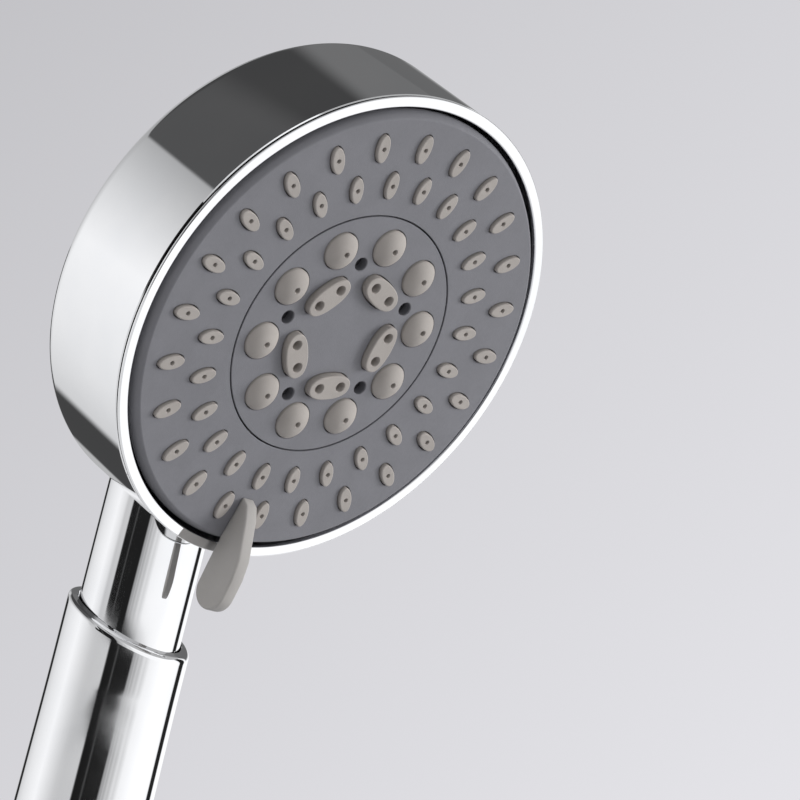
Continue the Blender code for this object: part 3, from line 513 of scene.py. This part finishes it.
class Recipe:
    """A Geometry Nodes tree put together step by step, with named inputs for its sizes."""

    def __init__(self, name, *sizes):
        self.tree = bpy.data.node_groups.new(name, "GeometryNodeTree")
        self.tree.interface.new_socket("Geometry", in_out="OUTPUT", socket_type="NodeSocketGeometry")
        self.tree.interface.new_socket("Shape", in_out="INPUT", socket_type="NodeSocketGeometry")
        for size, kind in sizes:
            self.tree.interface.new_socket(size, in_out="INPUT", socket_type=f"NodeSocket{kind}")
        self.given = self.tree.nodes.new("NodeGroupInput").outputs
        self.result = self.tree.nodes.new("NodeGroupOutput")

    def fill(self, socket, value):
        """Gives an input a number, or links another step's result to it."""
        if isinstance(value, bpy.types.NodeSocket):
            self.tree.links.new(value, socket)
        else:
            socket.default_value = value

    def step(self, kind, **inputs):
        """Adds a node, fills its inputs by name and returns its first output."""
        node = self.tree.nodes.new(kind)
        for key, value in inputs.items():
            self.fill(node.inputs[key.replace("_", " ")], value)
        return node.outputs[0]

    def times(self, first, second):
        """The product of two numbers or sums."""
        return self.sum("MULTIPLY", first, second)

    def sum(self, operation, *values):
        """One sum on numbers or on other sums."""
        node = self.tree.nodes.new("ShaderNodeMath")
        node.operation = operation
        for socket, value in zip(node.inputs, values):
            self.fill(socket, value)
        return node.outputs[0]

    def moved(self, geometry, position):
        """Puts each point of a geometry in its new place."""
        return self.step("GeometryNodeSetPosition", Geometry=geometry, Position=position)

    def axes(self):
        """The x, y and z of each point."""
        node = self.tree.nodes.new("ShaderNodeSeparateXYZ")
        self.tree.links.new(self.step("GeometryNodeInputPosition"), node.inputs[0])
        return node.outputs

    def reach(self, x, y):
        """How far each point is from the Z axis."""
        return self.sum("SQRT", self.sum("ADD", self.times(x, x), self.times(y, y)))

    def finish(self, geometry, material):
        """Makes the copies real and gives them their material, as the recipe's result."""
        real = self.step("GeometryNodeRealizeInstances", Geometry=geometry)
        done = self.step("GeometryNodeSetMaterial", Geometry=real, Material=material)
        self.tree.links.new(done, self.result.inputs[0])

    def make(self, name, shape, place=head_place, **sizes):
        """Runs the recipe on a mesh, and returns a plain mesh object at the origin."""
        obj = bpy.data.objects.new(name, shape)
        bpy.context.scene.collection.objects.link(obj)
        modifier = obj.modifiers.new(self.tree.name, "NODES")
        modifier.node_group = self.tree
        for item in self.tree.interface.items_tree:
            key = item.name.lower().replace(" ", "_")
            if item.in_out == "INPUT" and key in sizes:
                modifier[item.identifier] = sizes[key]
        plain_mesh(obj)
        bm = bmesh.new()
        bm.from_mesh(obj.data)
        bmesh.ops.remove_doubles(bm, verts=bm.verts, dist=merge_distance)
        bmesh.ops.recalc_face_normals(bm, faces=bm.faces)
        bm.to_mesh(obj.data)
        bm.free()
        obj.data.transform(place)
        return obj


def outline_mesh(outline):
    """A (radius, height) outline as a closed loop of edges."""
    mesh = bpy.data.meshes.new("outline")
    count = len(outline)
    loop = [(i, (i + 1) % count) for i in range(count)]
    mesh.from_pydata([(*point, 0) for point in outline], loop, [])
    return mesh


def carried_round(recipe):
    """Carries the outline that the recipe is given round the Z axis, along a circle that is then
    drawn in to nothing."""
    guide = 0.1
    circle = recipe.step("GeometryNodeCurvePrimitiveCircle", Resolution=recipe.given["Sides"],
                         Radius=guide)
    section = recipe.step("GeometryNodeMeshToCurve", Mesh=recipe.given["Shape"])
    skin = recipe.step("GeometryNodeCurveToMesh", Curve=circle, Profile_Curve=section)
    x, y, z = recipe.axes()
    reach = recipe.reach(x, y)
    share = recipe.sum("DIVIDE", recipe.sum("SUBTRACT", reach, guide), reach)
    place = recipe.step("ShaderNodeCombineXYZ", X=recipe.times(x, share),
                        Y=recipe.times(y, share), Z=recipe.times(z, -1.0))
    return recipe.moved(skin, place)


plated_ring = Recipe("plated_ring", ("Sides", "Int"))
plated_ring.finish(carried_round(plated_ring), plating)
trim_inner = 0.0478
trim_round = 0.0003
trim_back = -0.0005
trim_chamfer = 0.0001
web_radius, web_back = 0.0484, -0.0031
skirt_radius, skirt_foot = 0.0474, -0.008
slope_front, slope_back = -0.0012, -0.0042
trim_outline = arc((trim_inner + trim_round, -trim_round), trim_round, 180, 90, 5)
trim_outline += arc((drum_radius - trim_round, -trim_round), trim_round, 90, 0, 6)
trim_outline += [
    (drum_radius, trim_back + trim_chamfer), (drum_radius - trim_chamfer, trim_back),
    (web_radius, trim_back), (web_radius, web_back), (skirt_radius, web_back),
    (skirt_radius, skirt_foot), (bore_radius, skirt_foot), (bore_radius, slope_back),
    (trim_inner, slope_front),
]
trim_ring = plated_ring.make("trim_ring_plated", outline_mesh(trim_outline), sides=320)
settled(smoothed(trim_ring), "handle_and_shell", "chrome", "trim_ring")

# ---- Grip --------------------------------------
# A plated sleeve over the neck and the water tube. Its foot tapers to sit in the wall bracket,
# and its top is cut on the slant, high at the back, with a soft shoulder round the neck.

grip_stations = (  # height, radius
    (0.0006, 0.0112), (0.018, 0.0119), (0.034, 0.0126), (0.045, 0.0132), (0.057, 0.0135),
    (0.076, 0.0133), (0.095, 0.0131), (0.108, 0.0131),
)
grip_top = 0.1095
shoulder = 0.0011
slant = math.tan(math.radians(20.5))
slant_start = 0.095
grip_foot_round = 0.0006
neck_hole, neck_hole_floor = 0.0112, 0.087
tube_hole, tube_hole_floor = 0.0096, 0.02
foot_hole = 0.0093


def eased_through(stations, steps):
    """A smooth line through (height, radius) stations, as (radius, height) points."""
    points = []
    for i in range(len(stations) - 1):
        before = stations[max(i - 1, 0)]
        low, high = stations[i], stations[i + 1]
        after = stations[min(i + 2, len(stations) - 1)]
        slope_low = (high[1] - before[1]) / (high[0] - before[0])
        slope_high = (after[1] - low[1]) / (after[0] - low[0])
        width = high[0] - low[0]
        for k in range(steps):
            t = k / steps
            radius = ((2 * t**3 - 3 * t**2 + 1) * low[1] + (t**3 - 2 * t**2 + t) * width * slope_low
                      + (3 * t**2 - 2 * t**3) * high[1] + (t**3 - t**2) * width * slope_high)
            points.append((radius, low[0] + width * t))
    return points + [(stations[-1][1], stations[-1][0])]


grip_outline = arc((0.0106, grip_foot_round), grip_foot_round, -90, -10, 6)
grip_outline += eased_through(grip_stations, 8)
grip_outline += arc((grip_stations[-1][1] - shoulder, grip_top - shoulder), shoulder, 0, 84, 9)
grip_outline += [(0.01135, grip_top + 0.0002), (neck_hole, grip_top + 0.0001), (neck_hole, neck_hole_floor),
                 (tube_hole, neck_hole_floor), (tube_hole, tube_hole_floor), (foot_hole, tube_hole_floor),
                 (foot_hole, 0)]

sleeve = Recipe("slanted_sleeve", ("Sides", "Int"), ("Slant", "Float"), ("Slant From", "Float"),
                ("Slant To", "Float"))
sleeve_skin = carried_round(sleeve)
x, y, z = sleeve.axes()
lean_share = sleeve.step("ShaderNodeMapRange", Value=z, From_Min=sleeve.given["Slant From"],
                         From_Max=sleeve.given["Slant To"])
lift = sleeve.times(sleeve.times(y, sleeve.given["Slant"]), lean_share)
leaning = sleeve.step("ShaderNodeCombineXYZ", X=x, Y=y, Z=sleeve.sum("ADD", z, lift))
sleeve.finish(sleeve.moved(sleeve_skin, leaning), plating)
handle_grip = sleeve.make("handle_grip_plated", outline_mesh(grip_outline), handle_place, sides=192,
                          slant=slant, slant_from=slant_start, slant_to=grip_top - shoulder)
settled(smoothed(handle_grip), "handle_and_shell", "chrome", "handle_grip")

# ---- Hose nipple -------------------------------
# The plated brass nipple glued into the foot of the grip. Its half-inch pipe thread takes the
# hose nut, and its mouth holds the strainer and the flow regulator.

thread_pitch = 0.001814
thread_crest = 0.01048
thread_depth = 0.00116
thread_root = thread_crest - thread_depth
thread_rows = 110
flank_foot, flank_top = 0.1, 0.86  # of the way from the root to the crest
run_in_turns = 0.5
run_out_length = 0.001
nipple_mouth = -0.013
nipple_bore = 0.0072
mouth_chamfer = 0.0003
flange_radius, flange_chamfer, flange_back, flange_front = 0.011, 0.0002, -0.0014, -0.0003
spigot_radius, spigot_top, spigot_bore = 0.009, 0.018, 0.0067
regulator_bore, regulator_stop, spigot_floor = 0.0052, 0.0083, 0.0093

nipple_outline = [(nipple_bore + mouth_chamfer, nipple_mouth), (thread_root - 0.0004, nipple_mouth)]
thread_foot, thread_top = nipple_mouth + mouth_chamfer, flange_back - mouth_chamfer
for row in range(thread_rows + 1):
    nipple_outline.append((thread_root, thread_foot + (thread_top - thread_foot) * row / thread_rows))
nipple_outline += [
    (thread_root, flange_back), (flange_radius - flange_chamfer, flange_back),
    (flange_radius, flange_back + flange_chamfer), (flange_radius, flange_front - flange_chamfer),
    (flange_radius - flange_chamfer, flange_front), (spigot_radius, flange_front),
    (spigot_radius, spigot_top), (spigot_bore, spigot_top), (spigot_bore, spigot_floor),
    (regulator_bore, spigot_floor), (regulator_bore, regulator_stop), (nipple_bore, regulator_stop),
    (nipple_bore, nipple_mouth + mouth_chamfer),
]

nipple = Recipe("threaded_nipple", ("Sides", "Int"), ("Pitch", "Float"), ("Depth", "Float"),
                ("Root", "Float"), ("Thread Foot", "Float"), ("Thread Top", "Float"))
nipple_skin = carried_round(nipple)
x, y, z = nipple.axes()
reach = nipple.reach(x, y)
turn_share = nipple.sum("DIVIDE", nipple.sum("ARCTAN2", y, x), math.tau)
above_foot = nipple.sum("SUBTRACT", z, nipple.given["Thread Foot"])
below_top = nipple.sum("SUBTRACT", nipple.given["Thread Top"], z)
along = nipple.sum("DIVIDE", above_foot, nipple.given["Pitch"])
spare_turns = 8.0  # keep the next sum above 0
phase = nipple.sum("FRACT", nipple.sum("ADD", nipple.sum("SUBTRACT", along, turn_share), spare_turns))
ridge = nipple.sum("SUBTRACT", 1.0, nipple.sum("ABSOLUTE", nipple.sum(
    "SUBTRACT", nipple.times(phase, 2.0), 1.0)))
ridge = nipple.step("ShaderNodeMapRange", Value=ridge, From_Min=flank_foot, From_Max=flank_top)
run_in = nipple.step("ShaderNodeMapRange", Value=along, From_Min=0.0, From_Max=run_in_turns)
run_out = nipple.step("ShaderNodeMapRange", Value=below_top, From_Min=0.0, From_Max=run_out_length)
root_tolerance = 0.00005
on_root = nipple.sum("COMPARE", reach, nipple.given["Root"], root_tolerance)
growth = nipple.times(nipple.times(ridge, nipple.given["Depth"]),
                      nipple.times(on_root, nipple.times(run_in, run_out)))
outwards = nipple.sum("DIVIDE", nipple.sum("ADD", reach, growth), reach)
grown = nipple.step("ShaderNodeCombineXYZ", X=nipple.times(x, outwards),
                    Y=nipple.times(y, outwards), Z=z)
nipple.finish(nipple.moved(nipple_skin, grown), plating)
hose_nipple = nipple.make(
    "hose_nipple", outline_mesh(nipple_outline), handle_place, sides=128, pitch=thread_pitch,
    depth=thread_depth, root=thread_root, thread_foot=thread_foot, thread_top=thread_top)
settled(smoothed(hose_nipple, 40), "handle_and_shell", "chrome", "hose_connector")

# ---- Strainer ----------------------------------
# A dished stainless disc in the mouth of the nipple, with rings of punched holes, pressed in
# under the hose washer to keep grit out of the flow regulator.

steel = metal("stainless_steel", (0.52, 0.52, 0.51), (0.64, 0.635, 0.62),
              tones=(700, 4), gloss=(900, 5, 0.2, 0.36), bumps=(2500, 4, 0.000006))

strainer_dish = [  # radius, height: the dished outer side, the clamped edge, and the inner side
    (0, -0.0046), (0.0016, -0.00455), (0.0034, -0.0044), (0.005, -0.004), (0.0056, -0.0035),
    (0.0058, -0.003), (0.0067, -0.003), (0.0069, -0.0028), (0.0069, -0.0024), (0.0067, -0.0022),
    (0.0053, -0.0022), (0.005, -0.003), (0.0044, -0.0034), (0.003, -0.0037), (0, -0.0039),
]
strainer_rings = 5
hole_spacing = 0.00088
punch_radius, punch_foot, punch_top = 0.00026, -0.006, -0.001

ring = Recipe("ring_of_copies", ("Count", "Int"), ("Ring Radius", "Float"), ("Start Angle", "Float"),
              ("Finish", "Material"))
angle_apart = ring.sum("DIVIDE", math.tau, ring.given["Count"])
copy_angle = ring.sum("ADD", ring.given["Start Angle"],
                      ring.times(ring.step("GeometryNodeInputIndex"), angle_apart))
copy_place = ring.step("ShaderNodeCombineXYZ",
                       X=ring.times(ring.given["Ring Radius"], ring.sum("SINE", copy_angle)),
                       Y=ring.times(ring.given["Ring Radius"], ring.sum("COSINE", copy_angle)))
copy_turn = ring.step("ShaderNodeCombineXYZ", Z=ring.times(copy_angle, -1.0))
copy_points = ring.step("GeometryNodePoints", Count=ring.given["Count"], Position=copy_place)
ring_copies = ring.step("GeometryNodeInstanceOnPoints", Points=copy_points, Instance=ring.given["Shape"],
                        Rotation=ring.step("FunctionNodeEulerToRotation", Euler=copy_turn))
ring.finish(ring_copies, ring.given["Finish"])


def stacked(rings):
    """A closed bmesh from flat rings of as many points each, the first and the last one capped."""
    bm = bmesh.new()
    layers = [[bm.verts.new(point) for point in ring] for ring in rings]
    for low, high in zip(layers, layers[1:]):
        for i in range(len(low)):
            j = (i + 1) % len(low)
            bm.faces.new((low[i], low[j], high[j], high[i]))
    bm.faces.new(layers[0][::-1])
    bm.faces.new(layers[-1])
    return bm


def oval(half_across, half_out, height, sides, fullness=2.0, middle=0.0):
    """A loop of points: an ellipse at fullness 2, and squarer above that. It may be off to one side."""
    points = []
    for i in range(sides):
        turn = math.tau * i / sides
        across = abs(math.cos(turn))**(2 / fullness) * math.copysign(1, math.cos(turn))
        out = abs(math.sin(turn))**(2 / fullness) * math.copysign(1, math.sin(turn))
        points.append((middle + half_across * across, half_out * out, height))
    return points


def shape_of(bm):
    """A bmesh as a bare mesh, for a recipe to copy."""
    bmesh.ops.recalc_face_normals(bm, faces=bm.faces)
    mesh = bpy.data.meshes.new("shape")
    bm.to_mesh(mesh)
    bm.free()
    return mesh


def copies(name, shape, count, radius, start, material, place=head_place):
    """Copies of a shape in a ring, clockwise from the top of the face, turned to face outwards."""
    return ring.make(name, shape, place, count=count, ring_radius=radius, start_angle=math.radians(start),
                     finish=material)


strainer = made("strainer", spun(strainer_dish, 96), steel, handle_place)
punch = shape_of(stacked([oval(punch_radius, punch_radius, height, 10)
                          for height in (punch_foot, punch_top)]))
punches = [copies("punches", punch, 6 * step, hole_spacing * step, 0, steel, handle_place)
           for step in range(1, strainer_rings + 1)]
combined(strainer, "DIFFERENCE", *punches)
settled(smoothed(strainer), "handle_and_shell", "spring_steel", "filter_screen")

# ---- Outer spray plate -------------------------
# A shallow cup of grey satin ABS that turns inside the trim ring. Its rim is rounded off, and
# each nozzle comes up through an oval hole with a softened edge.

face_front = 0.001
face_back = -0.0016
disc_seam = 0.0255
seam_half = 0.00015
face_edge = 0.0001
plate_skirt, plate_skirt_inner, plate_skirt_foot = 0.0459, 0.0443, -0.0102
hole_clearance = 0.00017
hole_edge = 0.00014
cutter_reach = 0.001
cutter_foot = -0.006
nozzle_count = 24
nozzle_rings = (  # ring radius, first angle, half length outwards, half width
    (0.04, 7.5, 0.00293, 0.00146),
    (0.032, 0.0, 0.00278, 0.0014),
)


def moulded(name, first, second, rough_low, rough_high, grain, broad=0.00002):
    """A moulded plastic or rubber: two close tones, uneven gloss, a fine grain and broad unevenness."""
    material, tree, shader = shader_of(name)
    two_tone(tree, shader, 140, 5, first, second)
    tree.links.new(mottle(tree, 1500, 4, rough_low, rough_high), shader.inputs["Roughness"])
    relief(tree, shader, [(mottle(tree, 120, 2, 0, 1), broad), (mottle(tree, 5200, 3, 0, 1), grain)])
    return material


face_grey = moulded("satin_grey_plastic", (0.168, 0.168, 0.183), (0.18, 0.18, 0.196), 0.42, 0.56,
                    grain=0.000012)


def hole_cutter(half_across, half_out, fullness=2.0, sides=40):
    """A post that cuts a hole through the spray plate and takes the edge off its front."""
    low = (half_across + hole_clearance, half_out + hole_clearance)
    top = (low[0] + hole_edge + cutter_reach, low[1] + hole_edge + cutter_reach)
    return shape_of(stacked([
        oval(*low, cutter_foot, sides, fullness), oval(*low, face_front - hole_edge, sides, fullness),
        oval(*top, face_front + cutter_reach, sides, fullness)]))


def block(half_across, near, far, foot, top):
    """A plain block under the head's axis, from near to far from it."""
    corners = ((-half_across, -far), (half_across, -far), (half_across, -near), (-half_across, -near))
    return stacked([[(*corner, height) for corner in corners] for height in (foot, top)])


outer_seam = disc_seam + seam_half
outer_plate_outline = [
    (outer_seam, face_back), (outer_seam, face_front - face_edge), (outer_seam + face_edge, face_front),
    # the rounded rim
    (0.0457, face_front), (0.0459, 0.00096), (0.0461, 0.0008), (0.04685, -0.0006), (0.04695, -0.001),
    (0.047, face_back + face_edge),
    # the skirt
    (plate_skirt, face_back + face_edge), (plate_skirt, plate_skirt_foot),
    (plate_skirt_inner, plate_skirt_foot), (plate_skirt_inner, face_back),
]
outer_plate = made("outer_spray_plate", spun(outer_plate_outline, 288), face_grey)
nozzle_holes = [copies("nozzle_holes", hole_cutter(across, out), nozzle_count, radius, start, face_grey)
                for radius, start, out, across in nozzle_rings]
peg_slot = made("peg_slot", block(half_across=0.0012, near=0.0383, far=0.0421, foot=-0.004, top=0.003),
                face_grey)
combined(outer_plate, "DIFFERENCE", *nozzle_holes, peg_slot)
settled(smoothed(outer_plate), "spray_face", "face_plastic", "face_ring")

# ---- Middle spray plate ------------------------
# The disc inside the thin seam circle, of the same grey ABS, snapped into the outer plate. It
# has ten round holes for the domes, five ovals for the pads and five bare mist jets.

dome_ring, dome_count, dome_half, dome_rise = 0.0193, 10, 0.0038, 0.0019
pad_ring, pad_start, pad_half_across, pad_half_out, pad_rise = 0.011, 18, 0.005, 0.0026, 0.0013
mist_ring, mist_start, mist_half = 0.0152, 54, 0.0014
mode_count = 5
pad_fullness = 2.35

inner_seam = disc_seam - seam_half
middle_plate = made("middle_spray_plate", spun([
    (0, face_back), (inner_seam, face_back), (inner_seam, face_front - face_edge),
    (inner_seam - face_edge, face_front), (0, face_front)], 192), face_grey)
combined(
    middle_plate, "DIFFERENCE",
    copies("dome_holes", hole_cutter(dome_half, dome_half, 2.0, 48), dome_count, dome_ring, 0, face_grey),
    copies("pad_holes", hole_cutter(pad_half_across, pad_half_out, pad_fullness, 64), mode_count, pad_ring,
           pad_start, face_grey),
    copies("mist_holes", hole_cutter(mist_half - hole_clearance, mist_half - hole_clearance), mode_count,
           mist_ring, mist_start, face_grey))
settled(smoothed(middle_plate), "spray_face", "face_plastic", "face_disc")

# ---- Outer nozzle mat --------------------------
# One sheet of warm grey silicone behind the outer plate, moulded with 48 flat-topped oval
# nozzles. Limescale rubs off their soft tips, and each has a pinhole for its jet.

silicone = moulded("nozzle_silicone", (0.345, 0.318, 0.296), (0.372, 0.344, 0.32), 0.5, 0.66,
                   grain=0.00001)
mat_front = -0.0019
mat_back = -0.003
mat_grip = 0.0003
mat_inner, mat_outer = disc_seam + 0.002, 0.044
tip_round = 0.00028
hole_flare, hole_flare_depth = 1.25, 0.3  # shares of the hole's radius
pinhole, pinhole_floor = 0.00042, -0.0012
nozzle_rise = 0.00065


def rounded_post(half_across, half_out, top, sides, fullness=2.0, hole=None, hole_floor=0.0):
    """A straight post out of the mat with a softened top edge and, if asked, a round hole in it."""
    rings = [oval(half_across, half_out, mat_front - mat_grip, sides, fullness)]
    edge_steps = 5
    for i in range(edge_steps + 1):
        turn = math.radians(90 * i / edge_steps)
        inset = tip_round * (1 - math.cos(turn))
        rings.append(oval(half_across - inset, half_out - inset, top - tip_round * (1 - math.sin(turn)),
                          sides, fullness))
    if hole:
        rings.append(oval(hole * hole_flare, hole * hole_flare, top, sides))
        rings.append(oval(hole, hole, top - hole * hole_flare_depth, sides))
        rings.append(oval(hole, hole, hole_floor, sides))
    return stacked(rings)


outer_mat = made("outer_nozzle_mat", spun([
    (mat_inner, mat_back), (mat_outer, mat_back), (mat_outer, mat_front), (mat_inner, mat_front)], 192),
    silicone)
nozzles = []
for radius, start, out, across in nozzle_rings:
    post = rounded_post(across, out, face_front + nozzle_rise, 32, hole=pinhole, hole_floor=pinhole_floor)
    nozzles.append(copies("nozzles", shape_of(post), nozzle_count, radius, start, silicone))
combined(outer_mat, "UNION", *nozzles)
settled(smoothed(outer_mat, 50), "spray_face", "nozzle_silicone", "nozzle_mat_outer")

# ---- Middle nozzle mat -------------------------
# The second silicone sheet: ten domed buttons with one hole at the tip, and five flat oval pads
# with a pair of wide holes each for the massage jets.

dome_hole = 0.0005
dome_hole_flare = 1.3
dome_hole_edge = 0.0002
dome_hole_floor = -0.0005
dome_wall = 0.0002
dome_steps = 14
pad_hole = 0.001
pad_hole_apart = 0.0052
pad_hole_floor = -0.0006
pad_hole_edge = 0.00015
pad_hole_flare = 0.00065
mist_way = 0.0017
middle_mat_edge = disc_seam - 0.0008


def domed_button():
    """A round button with a domed top and a hole at its tip."""
    cap = dome_rise - dome_wall
    sphere = (dome_half**2 + cap**2) / (2 * cap)
    rings = [oval(dome_half, dome_half, mat_front - mat_grip, 48)]
    hole_edge_angle = math.asin(dome_hole * dome_hole_flare / sphere)
    wall_angle = math.asin(dome_half / sphere)
    for i in range(dome_steps + 1):
        angle = wall_angle + (hole_edge_angle - wall_angle) * i / dome_steps
        radius = sphere * math.sin(angle)
        height = face_front + dome_rise - sphere * (1 - math.cos(angle))
        rings.append(oval(radius, radius, height, 48))
    rings.append(oval(dome_hole, dome_hole, face_front + dome_rise - dome_hole_edge, 48))
    rings.append(oval(dome_hole, dome_hole, dome_hole_floor, 48))
    return stacked(rings)


at_origin = Matrix.Identity(4)
pad_top = face_front + pad_rise
pad = made("pad", rounded_post(pad_half_across, pad_half_out, pad_top, 72, pad_fullness), silicone,
           at_origin)
pad_jets = []
for side in (-0.5, 0.5):
    jet = [oval(radius, radius, height, 36, middle=side * pad_hole_apart) for radius, height in (
        (pad_hole, pad_hole_floor), (pad_hole, pad_top - pad_hole_edge),
        (pad_hole + pad_hole_flare, pad_top + pad_hole_flare - pad_hole_edge))]
    pad_jets.append(made("pad_jet", stacked(jet), silicone, at_origin))
combined(pad, "DIFFERENCE", *pad_jets)

middle_mat = made("middle_nozzle_mat", spun([
    (0, mat_back), (middle_mat_edge, mat_back), (middle_mat_edge, mat_front), (0, mat_front)], 128),
    silicone)
mist_cutter = shape_of(stacked([oval(mist_way, mist_way, height, 32)
                                for height in (mat_back - 0.001, mat_front + 0.0009)]))
combined(middle_mat, "DIFFERENCE",
         copies("mist_ways", mist_cutter, mode_count, mist_ring, mist_start, silicone))
combined(middle_mat, "UNION",
         copies("domes", shape_of(domed_button()), dome_count, dome_ring, 0, silicone),
         copies("pads", pad.data.copy(), mode_count, pad_ring, pad_start, silicone))
bpy.data.objects.remove(pad)
settled(smoothed(middle_mat, 50), "spray_face", "nozzle_silicone", "nozzle_mat_inner")

# ---- Mist cores --------------------------------
# Five small black acetal cores, pressed into the channel plate deep behind the bare holes. They
# swirl the water into mist. Their plain sleeves are right as they are and only get a finish.

dark_plastic = moulded("black_acetal", (0.012, 0.012, 0.014), (0.02, 0.02, 0.022), 0.35, 0.5,
                       grain=0.000006, broad=0.00001)


def given_finish(material, *names):
    """A solid that already has the right shape takes the procedural finish of its material."""
    for name in names:
        for material_slot in frame["nodes"][name].material_slots:
            material_slot.material = material


given_finish(dark_plastic, *[f"mist_insert_{i}" for i in range(1, mode_count + 1)])

# ---- Mode lever --------------------------------
# The thumb lever that turns the spray face, a soft-edged fin of warm grey ABS. It stands on the
# outer plate with a peg in its slot, reaches over the trim ring and ends in a rounded paddle.

lever_grey = moulded("lever_plastic", (0.355, 0.34, 0.325), (0.375, 0.36, 0.345), 0.4, 0.55,
                     grain=0.000012)
lever_thickness = 0.0032
lever_edge = 0.00045
lever_foot = face_front - 0.0001
paddle_middle, paddle_radius = (0.0555, 0.0055), 0.004
lever_side = [  # outwards from the head's axis, height in front of the rim
    (0.037, lever_foot), (0.0378, 0.003), (0.04, 0.0046), (0.0435, 0.0064), (0.0473, 0.0083),
    (0.051, 0.0092), *arc(paddle_middle, paddle_radius, 92, -92, 18),
    (0.052, 0.0012), (0.049, 0.001), (0.0474, 0.001), (0.0462, 0.0008),
]
mode_lever = made("mode_lever_fin", stacked([[(x, -out, height) for out, height in lever_side]
                                             for x in (-lever_thickness / 2, lever_thickness / 2)]),
                  lever_grey)
soft_edge = mode_lever.modifiers.new("soft edge", "BEVEL")
soft_edge.width = lever_edge
soft_edge.segments = 4
soft_edge.limit_method = "ANGLE"
soft_edge.angle_limit = math.radians(50)
plain_mesh(mode_lever)
lever_peg = made("lever_peg", block(half_across=0.0009, near=0.0386, far=0.0418, foot=-0.0013, top=0.0025),
                 lever_grey)
combined(mode_lever, "UNION", lever_peg)
settled(smoothed(mode_lever, 35), "spray_face", "lever_plastic", "mode_lever")

# ---- Valve plastics ----------------------------
# The plates, tube and wheel that carry and steer the water inside are natural milky acetal. They
# are hidden by the shell and the face, keep their working shapes and only get a finish.

milky = moulded("natural_acetal", (0.62, 0.61, 0.57), (0.7, 0.69, 0.65), 0.34, 0.46, grain=0.000008)
given_finish(milky, "flow_regulator", "water_tube", "valve_seat", "detent_pin", "selector_plate",
             "channel_plate", "turbine")

# ---- Seals -------------------------------------
# Black nitrile rings, and the cup seal that the selector's ports slide over. They keep their
# working shapes under a dull, slightly uneven finish.

rubber = moulded("seal_rubber", (0.014, 0.014, 0.014), (0.024, 0.024, 0.023), 0.45, 0.62,
                 grain=0.00001)
given_finish(rubber, "regulator_o_ring", "tube_seal_lower", "tube_seal_upper", "neck_seal", "seat_seal",
             "port_seal")

# ---- Springs -----------------------------------
# Two coils of stainless spring wire: one lifts the port seal onto the selector, the other pushes
# the click pin out and shortens when the pin gives way; here both coils keep one fixed length.

coil = Recipe("coil_spring", ("Turns", "Float"), ("Coil Radius", "Float"), ("Rise", "Float"),
              ("Wire", "Float"))
coil_line = coil.step("GeometryNodeCurveSpiral", Resolution=32, Rotations=coil.given["Turns"],
                      Start_Radius=coil.given["Coil Radius"], End_Radius=coil.given["Coil Radius"],
                      Height=coil.given["Rise"])
coil_wire = coil.step("GeometryNodeCurvePrimitiveCircle", Resolution=12, Radius=coil.given["Wire"])
coil_skin = coil.step("GeometryNodeCurveToMesh", Curve=coil_line, Profile_Curve=coil_wire, Fill_Caps=True)
coil.finish(coil_skin, steel)


def spring_for(name, node, turns, wire):
    """A coil in the place and at the length of a solid spring. Also returns the middle of its foot."""
    solid = frame["nodes"][node]
    corners = [head_place.inverted() @ solid.matrix_world @ vertex.co for vertex in solid.data.vertices]
    low = [min(corner[axis] for corner in corners) for axis in range(3)]
    high = [max(corner[axis] for corner in corners) for axis in range(3)]
    foot = Vector(((low[0] + high[0]) / 2, (low[1] + high[1]) / 2, low[2] + wire))
    spring = coil.make(name, bpy.data.meshes.new("spring"), head_place @ Matrix.Translation(foot),
                       turns=turns, coil_radius=(high[0] - low[0]) / 2 - wire,
                       rise=high[2] - low[2] - 2 * wire, wire=wire)
    settled(smoothed(spring, 60), "handle_and_shell", "spring_steel", node)
    return spring, head_place @ (foot - Vector((0, 0, wire)))


spring_for("port_spring_coil", "port_seal_spring", turns=2.5, wire=0.0003)
click_spring, click_spring_foot = spring_for("click_spring_coil", "detent_spring", turns=5.0, wire=0.00022)
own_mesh(click_spring)

# ---- Screws and washer -------------------------
# Brass screws hold the valve seat in the shell and the selector on its pivot, with a stainless
# washer under the pivot screw's head.

brass = metal("turned_brass", (0.66, 0.6, 0.46), (0.74, 0.68, 0.52),
              tones=(500, 4), gloss=(1200, 5, 0.22, 0.38), bumps=(3000, 3, 0.000005))
given_finish(brass, "pivot_screw", "seat_screw_1", "seat_screw_2", "seat_screw_3")
given_finish(steel, "pivot_washer")
